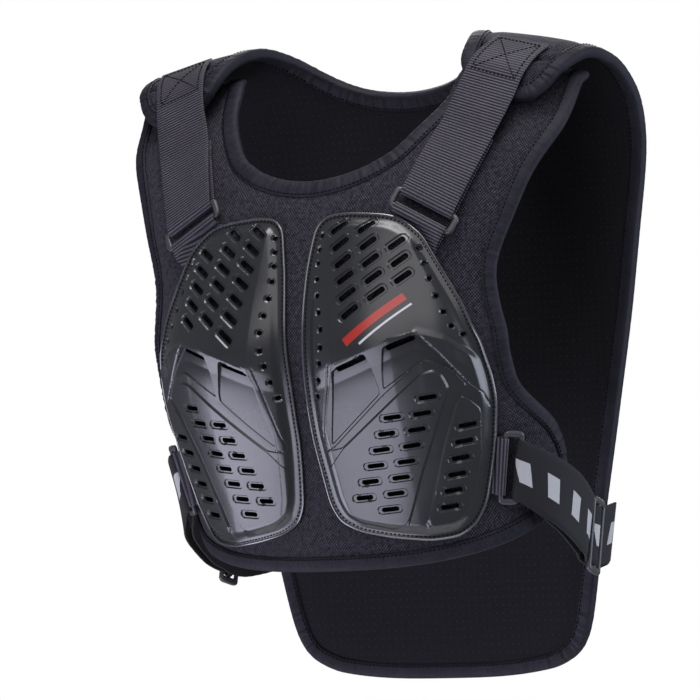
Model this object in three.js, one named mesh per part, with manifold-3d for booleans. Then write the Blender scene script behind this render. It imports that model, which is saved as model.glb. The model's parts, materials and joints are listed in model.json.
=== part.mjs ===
// Motorcycle body protector, worn form: a padded front panel with two vented chest plates, a padded
// back panel whose shoulder pads reach forward over the shoulders, webbing straps with rings between
// pad and front panel, and elastic side straps with sliders. Millimetres, +Z up, the wearer faces -Y,
// +X is the wearer's left, and the origin lies midway between the shoulder pads.
import * as THREE from 'three';
import Module from 'manifold-3d';

const wasm = await Module();
wasm.setup();

// Driving sizes
const FRONT_THICKNESS = 6;
const BACK_THICKNESS = 9;
const TAPE_WIDTH = 9;
const TAPE_THICKNESS = 1.2;
const GAP = 0.3;
const PLATE_THICKNESS = 2.5;
const PLATE_SEAT = FRONT_THICKNESS + 0.8;
const PLATE_RIM = 5;
const PLATE_SHOULDER = 14;
const PLATE_INSIDE = 0.4;
const PLATE_MARGIN = 0.7;
const WEB_WIDTH = 50;
const WEB_THICKNESS = 1.6;
const ELASTIC_THICKNESS = 1.8;
const RING_BAR = 3.6;
const RING_END = 5;
const RING_PITCH = 14;
const SLIDER_LENGTH = 64;
const SLIDER_DEPTH = 24;
const STRAP_STEP = 13;
const FOLD = RING_BAR * Math.SQRT1_2 + 1.5 * GAP + WEB_THICKNESS / 2;

const table = (names, rows) => {
  const keys = names.split(' ');
  return rows.map((row) => Object.fromEntries(keys.map((key, i) => [key, row[i]])));
};

// Body form: side profile of the body at x = 0, with the half width and wrap depth of each section.
const FRONT_STATIONS = table('name y z halfWidth wrap', [
  ['tongueTip', 54, -8, 240, 46],
  ['crest', 27, 2, 240, 46],
  ['ridge', 5.6, -2.9, 238, 46],
  ['shoulder', -19, -29, 232, 48],
  ['collar', -54, -66, 212, 54],
  ['upperChest', -84, -120, 192, 68],
  ['chest', -99, -172, 182, 79],
  ['bust', -107, -228, 178, 84],
  ['underBust', -102, -268, 177, 88],
  ['ribs', -88, -330, 173, 97],
  ['waist', -78, -385, 166, 104],
  ['hem', -75, -425, 162, 104],
]);
const BACK_STATIONS = table('name y z halfWidth wrap', [
  ['padFront', -36, -33, 244, 56],
  ['pad', -19, 2, 246, 57],
  ['shoulder', 6, 18, 250, 59],
  ['ridge', 32, 23, 252, 58],
  ['shoulderBack', 62, 14, 254, 54],
  ['bladeTop', 90, -16, 256, 46],
  ['blade', 108, -66, 256, 38],
  ['midBack', 116, -150, 250, 38],
  ['lowBack', 114, -300, 240, 38],
  ['lumbar', 110, -420, 232, 38],
  ['bottom', 112, -512, 228, 38],
]);

// Edges of one half of each panel in pattern millimetres: a across from the middle, s down from the
// ridge. The neck edge ends on the middle line at the throat row, and rows below it start there.
const FRONT_EDGES = table('neckA neckS armA armS', [
  [148, -46, 188, -46],
  [132, -36, 205, -36],
  [114, -14, 210, -13],
  [105.5, 10, 209, 20],
  [103, 32, 206, 50],
  [95, 53, 200, 70],
  [75, 89, 188, 106],
  [62, 101, 183, 124],
  [48, 110, 177, 147],
  [33, 116, 171, 168],
  [17, 120, 166.5, 186],
  [0, 121.5, 165.5, 202],
  [0, 155, 169, 222],
  [0, 192, 175, 250],
  [0, 230, 176, 280],
  [0, 268, 180, 308],
  [0, 305, 192, 330],
  [0, 342, 209, 352],
  [0, 380, 218, 374],
  [0, 413, 217, 391],
  [0, 436, 209, 405],
  [0, 445.5, 192, 417],
]);
const BACK_EDGES = table('neckA neckS armA armS', [
  [143, -91, 180, -92],
  [128, -79, 195, -78],
  [118, -61, 203, -56],
  [114, -40, 208, -34],
  [109, -20, 212, -8],
  [99, 11, 219, 30],
  [91, 29, 223, 55],
  [78, 47, 225, 80],
  [60, 62, 224, 108],
  [40, 72, 220, 134],
  [20, 76.5, 215, 160],
  [0, 78, 209, 190],
  [0, 140, 201, 230],
  [0, 210, 190, 290],
  [0, 360, 164, 420],
  [0, 430, 153, 476],
  [0, 495, 143, 524],
  [0, 540, 135, 545],
  [0, 564.5, 124, 557],
  [0, 574, 106, 566],
]);
const THROAT = 11;
const PANEL_COLUMNS = 6;

// Chest plate on the front panel's pattern: edges, and how far a row follows the slanted bust ridge.
const PLATE_ROWS = table('s inner outer follow', [
  [151, 42, 66, 0],
  [156, 20, 88, 0],
  [165, 14.5, 102, 0],
  [186, 11, 118.5, 0],
  [214, 8.6, 134.5, 0.4],
  [240, 7.2, 146.5, 0.8],
  [262, 6.4, 153.5, 1],
  [270, 6, 156, 1],
  [296, 5.8, 159.6, 0.6],
  [325, 6, 160, 0.3],
  [355, 7.6, 153.5, 0],
  [382, 10.6, 145.5, 0],
  [399, 14.5, 139.5, 0],
  [412, 29, 132, 0],
  [421, 58, 121, 0],
  [426, 84, 104, 0],
]);
const BUST_RIDGE = table('a s', [
  [6, 281],
  [39, 272],
  [65, 263],
  [104, 250],
  [127, 257],
  [152, 279],
]);
const RIDGE_LEVEL = 263;
// Height of the plate above its seat, by distance below the bust ridge and by place across.
const PLATE_CREST = table('below height', [
  [-120, 3],
  [-60, 6.5],
  [-30, 11],
  [-5, 16],
  [0, 16.5],
  [8, 10.5],
  [40, 8.5],
  [80, 7],
  [165, 4.5],
]);
const PLATE_ACROSS = table('part share', [
  [0, 0.45],
  [0.2, 0.95],
  [0.45, 1],
  [0.66, 0.68],
  [0.85, 0.42],
  [1, 0.35],
]);

// Vents: each bank starts at (a, s) and steps on by (stepA, stepS).
const FIELD_SLOT = { length: 16, width: 5, turn: -38 };
const FIELD_START = { a: 37.5, s: 164.5, stepA: 3.3, stepS: 14, pitch: 23.6 };
const FIELD_COUNTS = { left: [2, 3, 3, 3, 2, 1], right: [2, 3, 3, 3, 3, 3, 1] };
const LOW_SLOT = { length: 14, width: 4, turn: -2 };
const LOW_BANKS = table('name count a s stepA stepS', [
  ['outerColumn', 8, 108.5, 305.8, -6.4, 12.86],
  ['innerColumn', 6, 78.7, 318.8, -6.8, 13.1],
  ['sideColumn', 6, 134.2, 334.3, -4.9, 12.95],
]);
const CUT_DEPTH = [2, 40];
const HOLE_SIZE = 4.4;
const HOLE_SIDES = 4;
const INNER_HOLES = { count: 11, first: 170, last: 298 };
const INNER_HOLE_LINE = table('s a', [
  [170, 22],
  [200, 20.8],
  [230, 24.5],
  [252, 28],
  [275, 24.6],
  [298, 18.3],
]);
const OUTER_HOLES = { count: 7, first: 181.5, last: 256 };
const OUTER_HOLE_LINE = table('s a', [
  [181.5, 105.5],
  [221, 120.5],
  [256, 140],
]);
const SLITS = table('a s length width turn', [
  [53, 273, 25, 4.5, -19],
  [94, 259, 23, 4.5, -19],
]);

// Strap routes for the wearer's left side: pattern place on a panel, height above the body and the
// turn of the strap's width from the a axis in degrees.
const SHOULDER_ROUTE = table('panel a s height turn', [
  ['back', 161, -29, 11.6, -9],
  ['back', 157, -46, 11.6, -11],
  ['back', 151, -66, 12.5, -14],
  ['back', 145, -88, 13.8, -16],
  ['front', 133.8, 75, 16.2, 15.5],
  ['front', 124.4, 103.7, 13.4, 19],
  ['front', 116, 128.4, 12.9, 22.5],
  ['front', 108, 151, 13.2, 26],
  ['front', 90, 188, 11, 26],
]);
const SHOULDER_RING_STATION = 7;
const RETURN_LENGTH = 70;
const ANCHOR_REACH = 34;
const SIDE_ROUTE = table('panel a s height turn', [
  ['front', 139, 370, 10.8, 100],
  ['front', 160.5, 376, 11.5, 104],
  ['front', 179, 389, 13.6, 113],
  ['front', 200, 410, 17.5, 123],
  ['free', 176.5, 60, -396, 16],
  ['back', 166.5, 456, 18.5, 100],
  ['back', 146, 461, 19, 92],
  ['back', 120, 466, 17.8, 88],
]);
const SIDE_RING_STATION = 1;
const SIDE_SLIDER_STATION = 4;
const SIDE_LAYER = FOLD + 0.4;
const SIDE_UNDERPASS = -(FOLD + 2.9);

const LOOKS = {
  mesh: { color: 0x1d1d20, roughness: 0.92, metalness: 0 },
  tape: { color: 0x17181c, roughness: 0.6, metalness: 0 },
  plate: { color: 0x141517, roughness: 0.32, metalness: 0 },
  web: { color: 0x161617, roughness: 0.78, metalness: 0 },
  elastic: { color: 0x1a1b1e, roughness: 0.7, metalness: 0 },
  moulding: { color: 0x2a2b2e, roughness: 0.45, metalness: 0 },
};

// Cubic through rows of values at given knots, with three-point slopes; gives value and slope.
function cubicTrack(knots, values) {
  const steps = knots.slice(1).map((k, i) => k - knots[i]);
  const chords = steps.map((step, i) => (values[i + 1] - values[i]) / step);
  const last = values.length - 1;
  const slopes = values.map((_, i) => {
    if (i === 0) return chords[0];
    if (i === last) return chords[last - 1];
    return (chords[i - 1] * steps[i] + chords[i] * steps[i - 1]) / (steps[i - 1] + steps[i]);
  });
  return (k) => {
    let i = knots.findIndex((knot) => knot >= k) - 1;
    if (k > knots[last]) i = last - 1;
    i = Math.min(Math.max(i, 0), last - 1);
    const t = (k - knots[i]) / steps[i];
    const [a, b, ma, mb] = [values[i], values[i + 1], slopes[i] * steps[i], slopes[i + 1] * steps[i]];
    const value = a + t * (ma + t * (3 * (b - a) - 2 * ma - mb + t * (2 * (a - b) + ma + mb)));
    const rate = ma + t * (2 * (3 * (b - a) - 2 * ma - mb) + 3 * t * (2 * (a - b) + ma + mb));
    return { value, slope: rate / steps[i] };
  };
}

// Straight-line reading of a two-column table.
function readTable(rows, from, to, x) {
  const upper = rows.findIndex((row) => row[from] >= x);
  if (upper === 0) return rows[0][to];
  if (upper < 0) return rows.at(-1)[to];
  const [low, high] = [rows[upper - 1], rows[upper]];
  return low[to] + ((high[to] - low[to]) * (x - low[from])) / (high[from] - low[from]);
}

// Body surface: each section is an ellipse arc hung on the side profile, square to it.
class BodyForm {
  constructor(stations, outward) {
    const knots = [0];
    for (let i = 1; i < stations.length; i += 1) {
      const [p, q] = [stations[i - 1], stations[i]];
      knots.push(knots[i - 1] + Math.hypot(q.y - p.y, q.z - p.z));
    }
    const zero = knots[stations.findIndex((station) => station.name === 'ridge')];
    const shifted = knots.map((knot) => knot - zero);
    const track = (key) => cubicTrack(shifted, stations.map((station) => station[key]));
    this.tracks = { y: track('y'), z: track('z'), halfWidth: track('halfWidth'), wrap: track('wrap') };
    this.outward = outward;
  }

  // Ellipse angle at arc length a, by Newton's steps on Simpson's rule.
  static angle(a, width, depth) {
    const speed = (u) => Math.hypot(width * Math.cos(u), depth * Math.sin(u));
    const weights = [1, 4, 2, 4, 2, 4, 2, 4, 1];
    const length = (u) => (u / 24) * weights.reduce((sum, w, i) => sum + w * speed((u * i) / 8), 0);
    let angle = a / width;
    for (let i = 0; i < 6; i += 1) angle -= (length(angle) - a) / speed(angle);
    return angle;
  }

  at(a, s, height) {
    const { y, z, halfWidth, wrap } = this.tracks;
    const [py, pz] = [y(s), z(s)];
    const run = Math.hypot(py.slope, pz.slope);
    const normal = [(-this.outward * pz.slope) / run, (this.outward * py.slope) / run];
    const [width, depth] = [halfWidth(s).value, wrap(s).value];
    const angle = BodyForm.angle(a, width, depth);
    const side = depth * Math.sin(angle);
    const front = width * Math.cos(angle);
    const size = Math.hypot(side, front);
    const lift = (height * front) / size - depth * (1 - Math.cos(angle));
    return new THREE.Vector3(
      width * Math.sin(angle) + (height * side) / size,
      py.value + lift * normal[0],
      pz.value + lift * normal[1],
    );
  }
}

const forms = { front: new BodyForm(FRONT_STATIONS, -1), back: new BodyForm(BACK_STATIONS, 1) };

// Collects triangles on shared corners and drops the ones that collapse.
class Solid {
  constructor() {
    this.corners = [];
    this.lookup = new Map();
    this.faces = [];
  }

  corner(point) {
    const key = point.toArray().map((v) => Math.round(v * 1e4)).join(' ');
    if (!this.lookup.has(key)) {
      this.lookup.set(key, this.corners.length);
      this.corners.push(point);
    }
    return this.lookup.get(key);
  }

  triangle(a, b, c) {
    const face = [this.corner(a), this.corner(b), this.corner(c)];
    if (new Set(face).size === 3) this.faces.push(face);
  }

  quad(a, b, c, d) {
    this.triangle(a, b, c);
    this.triangle(a, c, d);
  }

  toManifold() {
    const faces = this.volume() < 0 ? this.faces.map(([a, b, c]) => [a, c, b]) : this.faces;
    return new wasm.Manifold(new wasm.Mesh({
      numProp: 3,
      vertProperties: new Float32Array(this.corners.flatMap((point) => point.toArray())),
      triVerts: new Uint32Array(faces.flat()),
    }));
  }

  volume() {
    const normal = new THREE.Vector3();
    const term = (a, b, c) => a.dot(normal.crossVectors(b, c));
    return this.faces.reduce((sum, face) => sum + term(...face.map((i) => this.corners[i])), 0) / 6;
  }
}

// Closed slab over a flat sheet of pattern points, between two heights above the body.
function slab(form, sheet, low, high) {
  const solid = new Solid();
  const lift = (level) => sheet.points.map(([a, s]) => form.at(a, s, level(a, s)));
  const [under, over] = [lift(low), lift(high)];
  for (const [a, b, c] of sheet.faces) {
    solid.triangle(over[a], over[b], over[c]);
    solid.triangle(under[a], under[c], under[b]);
  }
  for (const [p, q] of openEdges(sheet.faces)) solid.quad(over[q], over[p], under[p], under[q]);
  return solid;
}

const level = (height) => () => height;

// Corner of an outline moved by a distance square to both of its sides, to the right of travel.
function inset(before, here, after, distance) {
  const square = ([a, s], [b, t]) => new THREE.Vector2(s - t, b - a).normalize();
  const [first, second] = [square(before, here), square(here, after)];
  const reach = distance / (1 + first.dot(second));
  return [here[0] + (first.x + second.x) * reach, here[1] + (first.y + second.y) * reach];
}

// Panel pattern: a grid of rows from neck edge to arm edge with a tape-wide ring along every edge.
function panelSheet(edges) {
  const last = edges.length - 1;
  const neck = edges.map((row) => [row.neckA, row.neckS]);
  const arm = edges.map((row) => [row.armA, row.armS]);
  const mirrored = ([a, s]) => [-a, s];
  const rows = edges.map((row, i) => {
    const inner = i <= THROAT ? neck[i] : null;
    let innerRing = neck[i];
    if (i <= THROAT) {
      const after = i < THROAT ? neck[i + 1] : mirrored(neck[i - 1]);
      innerRing = inset(neck[Math.max(i - 1, 0)], neck[i], after, -TAPE_WIDTH);
    }
    if (i === THROAT) innerRing[0] = 0;
    let outerRing = inset(arm[Math.max(i - 1, 0)], arm[i], arm[Math.min(i + 1, last)], TAPE_WIDTH);
    if (i === 0 || i === last) outerRing = [arm[i][0] - TAPE_WIDTH, arm[i][1]];
    if (i === 0) innerRing = [neck[i][0] + TAPE_WIDTH, neck[i][1]];
    const middle = [];
    for (let j = 0; j <= PANEL_COLUMNS - 2; j += 1) {
      const t = j / (PANEL_COLUMNS - 2);
      const bow = i > THROAT ? t ** 3 : t;
      middle.push([
        innerRing[0] + (outerRing[0] - innerRing[0]) * t,
        innerRing[1] + (outerRing[1] - innerRing[1]) * bow,
      ]);
    }
    return [inner, ...middle, arm[i]];
  });
  const points = [];
  const index = new Map();
  const add = (point) => {
    const key = point.map((v) => v.toFixed(3).replace('-0.000', '0.000')).join(' ');
    if (!index.has(key)) index.set(key, points.push(point) - 1);
    return index.get(key);
  };
  const faces = [];
  for (const flip of [1, -1]) {
    const grid = rows.map((row) => row.map((point) => point && add([point[0] * flip, point[1]])));
    for (let i = 0; i < last; i += 1) {
      for (let j = i < THROAT ? 0 : 1; j < PANEL_COLUMNS; j += 1) {
        const [p, q, r, t] = [grid[i][j], grid[i][j + 1], grid[i + 1][j + 1], grid[i + 1][j]];
        if (flip > 0) faces.push([p, r, q], [p, t, r]);
        else faces.push([p, q, r], [p, r, t]);
      }
    }
  }
  return { points, faces };
}

// Directed edges that only one face of a sheet uses, each as a pair of point numbers.
function openEdges(faces) {
  const edges = new Map();
  for (const [a, b, c] of faces) {
    for (const [p, q] of [[a, b], [b, c], [c, a]]) {
      if (!edges.delete(`${q} ${p}`)) edges.set(`${p} ${q}`, [p, q]);
    }
  }
  return [...edges.values()];
}

// Edge tape: a folded strip of U section over the outermost ring of faces of a panel.
function edgeTape(form, sheet, thickness) {
  const rim = openEdges(sheet.faces);
  const after = new Map(rim);
  const before = new Map(rim.map(([p, q]) => [q, p]));
  const ring = sheet.faces.filter((face) => face.some((v) => after.has(v)));
  const layer = (height, beyond) => sheet.points.map((point, v) => {
    const moved = after.has(v)
      ? inset(sheet.points[before.get(v)], point, sheet.points[after.get(v)], beyond)
      : point;
    return form.at(...moved, height);
  });
  const full = GAP + TAPE_THICKNESS;
  const layers = [
    layer(thickness + full, full),
    layer(thickness + GAP, GAP),
    layer(-GAP, GAP),
    layer(-full, full),
  ];
  const solid = new Solid();
  layers.forEach((points, k) => {
    for (const [a, b, c] of ring) {
      if (k % 2 === 0) solid.triangle(points[a], points[b], points[c]);
      else solid.triangle(points[a], points[c], points[b]);
    }
  });
  const [top, roof, floor, bottom] = layers;
  const wall = (p, q, over, under) => solid.quad(over[q], over[p], under[p], under[q]);
  for (const [p, q] of openEdges(ring)) {
    if (after.get(p) === q) {
      wall(p, q, top, bottom);
      solid.quad(roof[q], floor[q], floor[p], roof[p]);
    } else {
      wall(p, q, top, roof);
      wall(p, q, floor, bottom);
    }
  }
  return solid;
}

function plateShare(a, row) {
  return readTable(PLATE_ACROSS, 'part', 'share', (a - row.inner) / (row.outer - row.inner));
}

// Chest plate pattern: rows of points, each with the plate's height above its seat.
function plateSheet() {
  const points = [];
  const heights = new Map();
  const faces = [];
  const lastRow = PLATE_ROWS.length - 1;
  const grid = PLATE_ROWS.map((row, i) => {
    const width = row.outer - row.inner;
    const rim = Math.min(PLATE_RIM, width / 8);
    const shoulder = Math.min(PLATE_SHOULDER, width / 4);
    const inside = shoulder + (width - 2 * shoulder) * PLATE_INSIDE;
    const offsets = [0, rim, shoulder, inside, width - shoulder, width - rim, width];
    return offsets.map((offset, j) => {
      const a = row.inner + offset;
      const ridge = readTable(BUST_RIDGE, 'a', 's', a);
      const edge = Math.min(i, lastRow - i, j, offsets.length - 1 - j);
      const s = row.s + row.follow * (ridge - RIDGE_LEVEL);
      const crest = readTable(PLATE_CREST, 'below', 'height', s - ridge) * plateShare(a, row);
      const rise = [0, 0, 1][Math.min(edge, 2)];
      heights.set(`${a} ${s}`, PLATE_SEAT + rise * crest);
      return points.push([a, s]) - 1;
    });
  });
  for (let i = 0; i < lastRow; i += 1) {
    for (let j = 0; j + 1 < grid[i].length; j += 1) {
      const [p, q, r, t] = [grid[i][j], grid[i][j + 1], grid[i + 1][j + 1], grid[i + 1][j]];
      faces.push([p, r, q], [p, t, r]);
    }
  }
  const edge = (column) => grid.map((row) => points[row.at(column)]);
  const outline = [...edge(0), ...edge(-1).reverse()];
  return { points, faces, outline, height: (a, s) => heights.get(`${a} ${s}`) };
}

// Prism through the front panel's pattern, from the body out past the plates.
function patternPrism(corners, low, high) {
  const solid = new Solid();
  const toFlat = ([a, s]) => new THREE.Vector2(a, s);
  const outline = THREE.ShapeUtils.isClockWise(corners.map(toFlat)) ? corners.toReversed() : corners;
  const flat = outline.map(toFlat);
  const lift = (height) => outline.map(([a, s]) => forms.front.at(a, s, height));
  const [under, over] = [lift(low), lift(high)];
  for (const [a, b, c] of THREE.ShapeUtils.triangulateShape(flat, [])) {
    solid.triangle(over[a], over[b], over[c]);
    solid.triangle(under[a], under[c], under[b]);
  }
  outline.forEach((_, i) => {
    const j = (i + 1) % outline.length;
    solid.quad(over[j], over[i], under[i], under[j]);
  });
  return solid.toManifold();
}

function slotOutline(a, s, { length, width, turn }) {
  const angle = THREE.MathUtils.degToRad(turn);
  const corner = (u, v) => [
    a + u * Math.cos(angle) - v * Math.sin(angle),
    s + u * Math.sin(angle) + v * Math.cos(angle),
  ];
  const [l, w] = [length / 2, width / 2];
  return [corner(-l, -w), corner(l, -w), corner(l, w), corner(-l, w)];
}

function holeOutline(a, s) {
  return Array.from({ length: HOLE_SIDES }, (_, i) => {
    const angle = (2 * Math.PI * i) / HOLE_SIDES;
    return [a + (HOLE_SIZE / 2) * Math.cos(angle), s + (HOLE_SIZE / 2) * Math.sin(angle)];
  });
}

function holeRow({ count, first, last }, line) {
  return Array.from({ length: count }, (_, i) => {
    const s = first + ((last - first) * i) / (count - 1);
    return holeOutline(readTable(line, 's', 'a', s), s);
  });
}

function ventOutlines(side) {
  const vents = [...holeRow(INNER_HOLES, INNER_HOLE_LINE), ...holeRow(OUTER_HOLES, OUTER_HOLE_LINE)];
  const { a, s, stepA, stepS, pitch } = FIELD_START;
  FIELD_COUNTS[side].forEach((count, row) => {
    for (let k = 0; k < count; k += 1) {
      vents.push(slotOutline(a + stepA * row + pitch * k, s + stepS * row, FIELD_SLOT));
    }
  });
  for (const bank of LOW_BANKS) {
    for (let k = 0; k < bank.count; k += 1) {
      vents.push(slotOutline(bank.a + bank.stepA * k, bank.s + bank.stepS * k, LOW_SLOT));
    }
  }
  for (const slit of SLITS) vents.push(slotOutline(slit.a, slit.s, slit));
  return vents;
}

function chestPlate(side) {
  const sheet = plateSheet();
  const low = (a, s) => sheet.height(a, s);
  const high = (a, s) => sheet.height(a, s) + PLATE_THICKNESS;
  const blank = slab(forms.front, sheet, low, high).toManifold();
  const cuts = ventOutlines(side).map((outline) => patternPrism(outline, ...CUT_DEPTH));
  return cuts.reduce((plate, cut) => plate.subtract(cut), blank);
}

// Room taken by a chest plate, with a margin round it, for trimming what is tucked under its edge.
function plateRoom(margin) {
  const { outline } = plateSheet();
  const next = (i, step) => outline[(i + step + outline.length) % outline.length];
  const grown = outline.map((point, i) => inset(next(i, -1), point, next(i, 1), margin));
  return patternPrism(grown, ...CUT_DEPTH);
}

// Strap route: a ruled strip between two edge curves, read by length u, width w and height k. The
// side that comes first across the strap is chosen so that height points away from the body.
class StrapRun {
  constructor(route, firstSide) {
    const edge = (sign) => route.map(({ panel, a, s, height, turn }) => {
      const angle = THREE.MathUtils.degToRad(turn);
      const reach = (sign * WEB_WIDTH) / 2;
      if (panel === 'free') {
        return new THREE.Vector3(a, s - reach * Math.sin(angle), height - reach * Math.cos(angle));
      }
      return forms[panel].at(a + reach * Math.cos(angle), s + reach * Math.sin(angle), height);
    });
    const curve = (points) => new THREE.CatmullRomCurve3(points, false, 'centripetal');
    this.edges = [curve(edge(firstSide)), curve(edge(-firstSide))];
    this.stations = route.length;
    this.centres = Array.from({ length: 401 }, (_, i) => this.edgeMiddle(i / 400));
    this.lengths = [0];
    for (let i = 1; i < this.centres.length; i += 1) {
      this.lengths.push(this.lengths[i - 1] + this.centres[i].distanceTo(this.centres[i - 1]));
    }
  }

  edgeMiddle(t) {
    return this.edges[0].getPoint(t).add(this.edges[1].getPoint(t)).multiplyScalar(0.5);
  }

  lengthAt(station) {
    return this.lengths[Math.round((400 * station) / (this.stations - 1))];
  }

  parameter(u) {
    const found = this.lengths.findIndex((length) => length >= u);
    const i = found < 0 ? 400 : Math.max(found, 1);
    const part = (u - this.lengths[i - 1]) / (this.lengths[i] - this.lengths[i - 1]);
    return (i - 1 + THREE.MathUtils.clamp(part, 0, 1)) / 400;
  }

  frame(u) {
    const t = this.parameter(u);
    const [left, right] = this.edges.map((curve) => curve.getPoint(t));
    const across = right.clone().sub(left).normalize();
    const ahead = this.edgeMiddle(Math.min(t + 0.004, 1));
    ahead.sub(this.edgeMiddle(Math.max(t - 0.004, 0)));
    const up = new THREE.Vector3().crossVectors(across, ahead).normalize();
    const along = new THREE.Vector3().crossVectors(up, across);
    return { centre: left.add(right).multiplyScalar(0.5), across, along, up };
  }

  at(u, w, k) {
    const { centre, across, up } = this.frame(u);
    return centre.addScaledVector(across, w).addScaledVector(up, k);
  }
}

// Half turn of a path round a bar at u0, from height k0 to -k0, on the side given by reach.
function foldRound(u0, k0, reach, steps = 6) {
  return Array.from({ length: steps + 1 }, (_, i) => {
    const angle = Math.PI / 2 - (Math.PI * i) / steps;
    return [u0 + reach * Math.abs(k0) * Math.cos(angle), k0 * Math.sin(angle)];
  });
}

function evenPath(from, to, step) {
  const count = Math.max(Math.round(Math.hypot(to[0] - from[0], to[1] - from[1]) / step), 1);
  return Array.from({ length: count }, (_, i) => {
    const t = i / count;
    return [from[0] + (to[0] - from[0]) * t, from[1] + (to[1] - from[1]) * t];
  });
}

// Webbing: a path in length and height, given a thickness and swept across the strap's width.
function webbing(run, path, thickness, width = WEB_WIDTH) {
  const side = (sign) => path.map(([u, k], i) => {
    const before = path[Math.max(i - 1, 0)];
    const after = path[Math.min(i + 1, path.length - 1)];
    const size = Math.hypot(after[0] - before[0], after[1] - before[1]);
    const [du, dk] = [(after[0] - before[0]) / size, (after[1] - before[1]) / size];
    return [u - (sign * dk * thickness) / 2, k + (sign * du * thickness) / 2];
  });
  const [upper, lower] = [side(1), side(-1)];
  const solid = new Solid();
  const place = (points, w) => points.map(([u, k]) => run.at(u, w, k));
  const [a, b] = [place(upper, -width / 2), place(upper, width / 2)];
  const [c, d] = [place(lower, width / 2), place(lower, -width / 2)];
  for (let i = 0; i + 1 < path.length; i += 1) {
    const j = i + 1;
    solid.quad(a[i], b[i], b[j], a[j]);
    solid.quad(b[i], c[i], c[j], b[j]);
    solid.quad(c[i], d[i], d[j], c[j]);
    solid.quad(d[i], a[i], a[j], d[j]);
  }
  const end = path.length - 1;
  solid.quad(d[0], c[0], b[0], a[0]);
  solid.quad(a[end], b[end], c[end], d[end]);
  return solid.toManifold();
}

// Block in the strap's own frame at u0: a range of length, a half width and a half height.
function block(run, u0, [from, to], halfWidth, halfHeight) {
  const { centre, across, along, up } = run.frame(u0);
  const corner = (u, w, k) => {
    const point = centre.clone().addScaledVector(along, u);
    return point.addScaledVector(across, w * halfWidth).addScaledVector(up, k);
  };
  const ring = (k) => [[from, -1], [to, -1], [to, 1], [from, 1]].map(([u, w]) => corner(u, w, k));
  const [under, over] = [ring(-halfHeight), ring(halfHeight)];
  const solid = new Solid();
  solid.quad(...over);
  solid.quad(...under.toReversed());
  over.forEach((_, i) => solid.quad(over[(i + 1) % 4], over[i], under[i], under[(i + 1) % 4]));
  return solid.toManifold();
}

// Moulded frame: a flat block with windows through it for the webbing.
function mouldedFrame(run, u0, length, halfWidth, windows, windowHalf) {
  const outer = block(run, u0, [-length / 2, length / 2], halfWidth, RING_BAR / 2);
  const cut = (frame, range) => frame.subtract(block(run, u0, range, windowHalf, RING_BAR));
  return windows.reduce(cut, outer);
}

function ring(run, u0) {
  const window = RING_PITCH / 2 - RING_BAR / 2;
  const half = WEB_WIDTH / 2 + 1;
  return mouldedFrame(run, u0, RING_PITCH + RING_BAR, half + RING_END, [[-window, window]], half);
}

function slider(run, u0) {
  const outer = SLIDER_DEPTH / 2 - RING_BAR;
  const windows = [[-outer, -RING_BAR / 2], [RING_BAR / 2, outer]];
  return mouldedFrame(run, u0, SLIDER_DEPTH, SLIDER_LENGTH / 2, windows, WEB_WIDTH / 2 + 1);
}

function shoulderParts() {
  const run = new StrapRun(SHOULDER_ROUTE, 1);
  const ringPlace = run.lengthAt(SHOULDER_RING_STATION);
  const upperBar = ringPlace - RING_PITCH / 2;
  const lowerBar = ringPlace + RING_PITCH / 2;
  const strap = [
    ...evenPath([0, 0], [upperBar - 62, 0], STRAP_STEP),
    ...evenPath([upperBar - 62, 0], [upperBar, FOLD], STRAP_STEP),
    ...foldRound(upperBar, FOLD, 1),
    ...evenPath([upperBar - 9, -FOLD], [upperBar - RETURN_LENGTH, -WEB_THICKNESS * 2.4], STRAP_STEP),
  ];
  const anchor = [
    ...evenPath([lowerBar + ANCHOR_REACH, WEB_THICKNESS * 0.7], [lowerBar, FOLD], STRAP_STEP),
    ...foldRound(lowerBar, FOLD, -1),
    [lowerBar + 9, -FOLD * 0.8],
    [lowerBar + ANCHOR_REACH, -WEB_THICKNESS * 0.7],
  ];
  const tucked = plateRoom(PLATE_MARGIN);
  return {
    shoulder_strap: [webbing(run, strap, WEB_THICKNESS), LOOKS.web],
    shoulder_ring: [ring(run, ringPlace), LOOKS.moulding],
    shoulder_anchor: [webbing(run, anchor, WEB_THICKNESS).subtract(tucked), LOOKS.web],
  };
}

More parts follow.
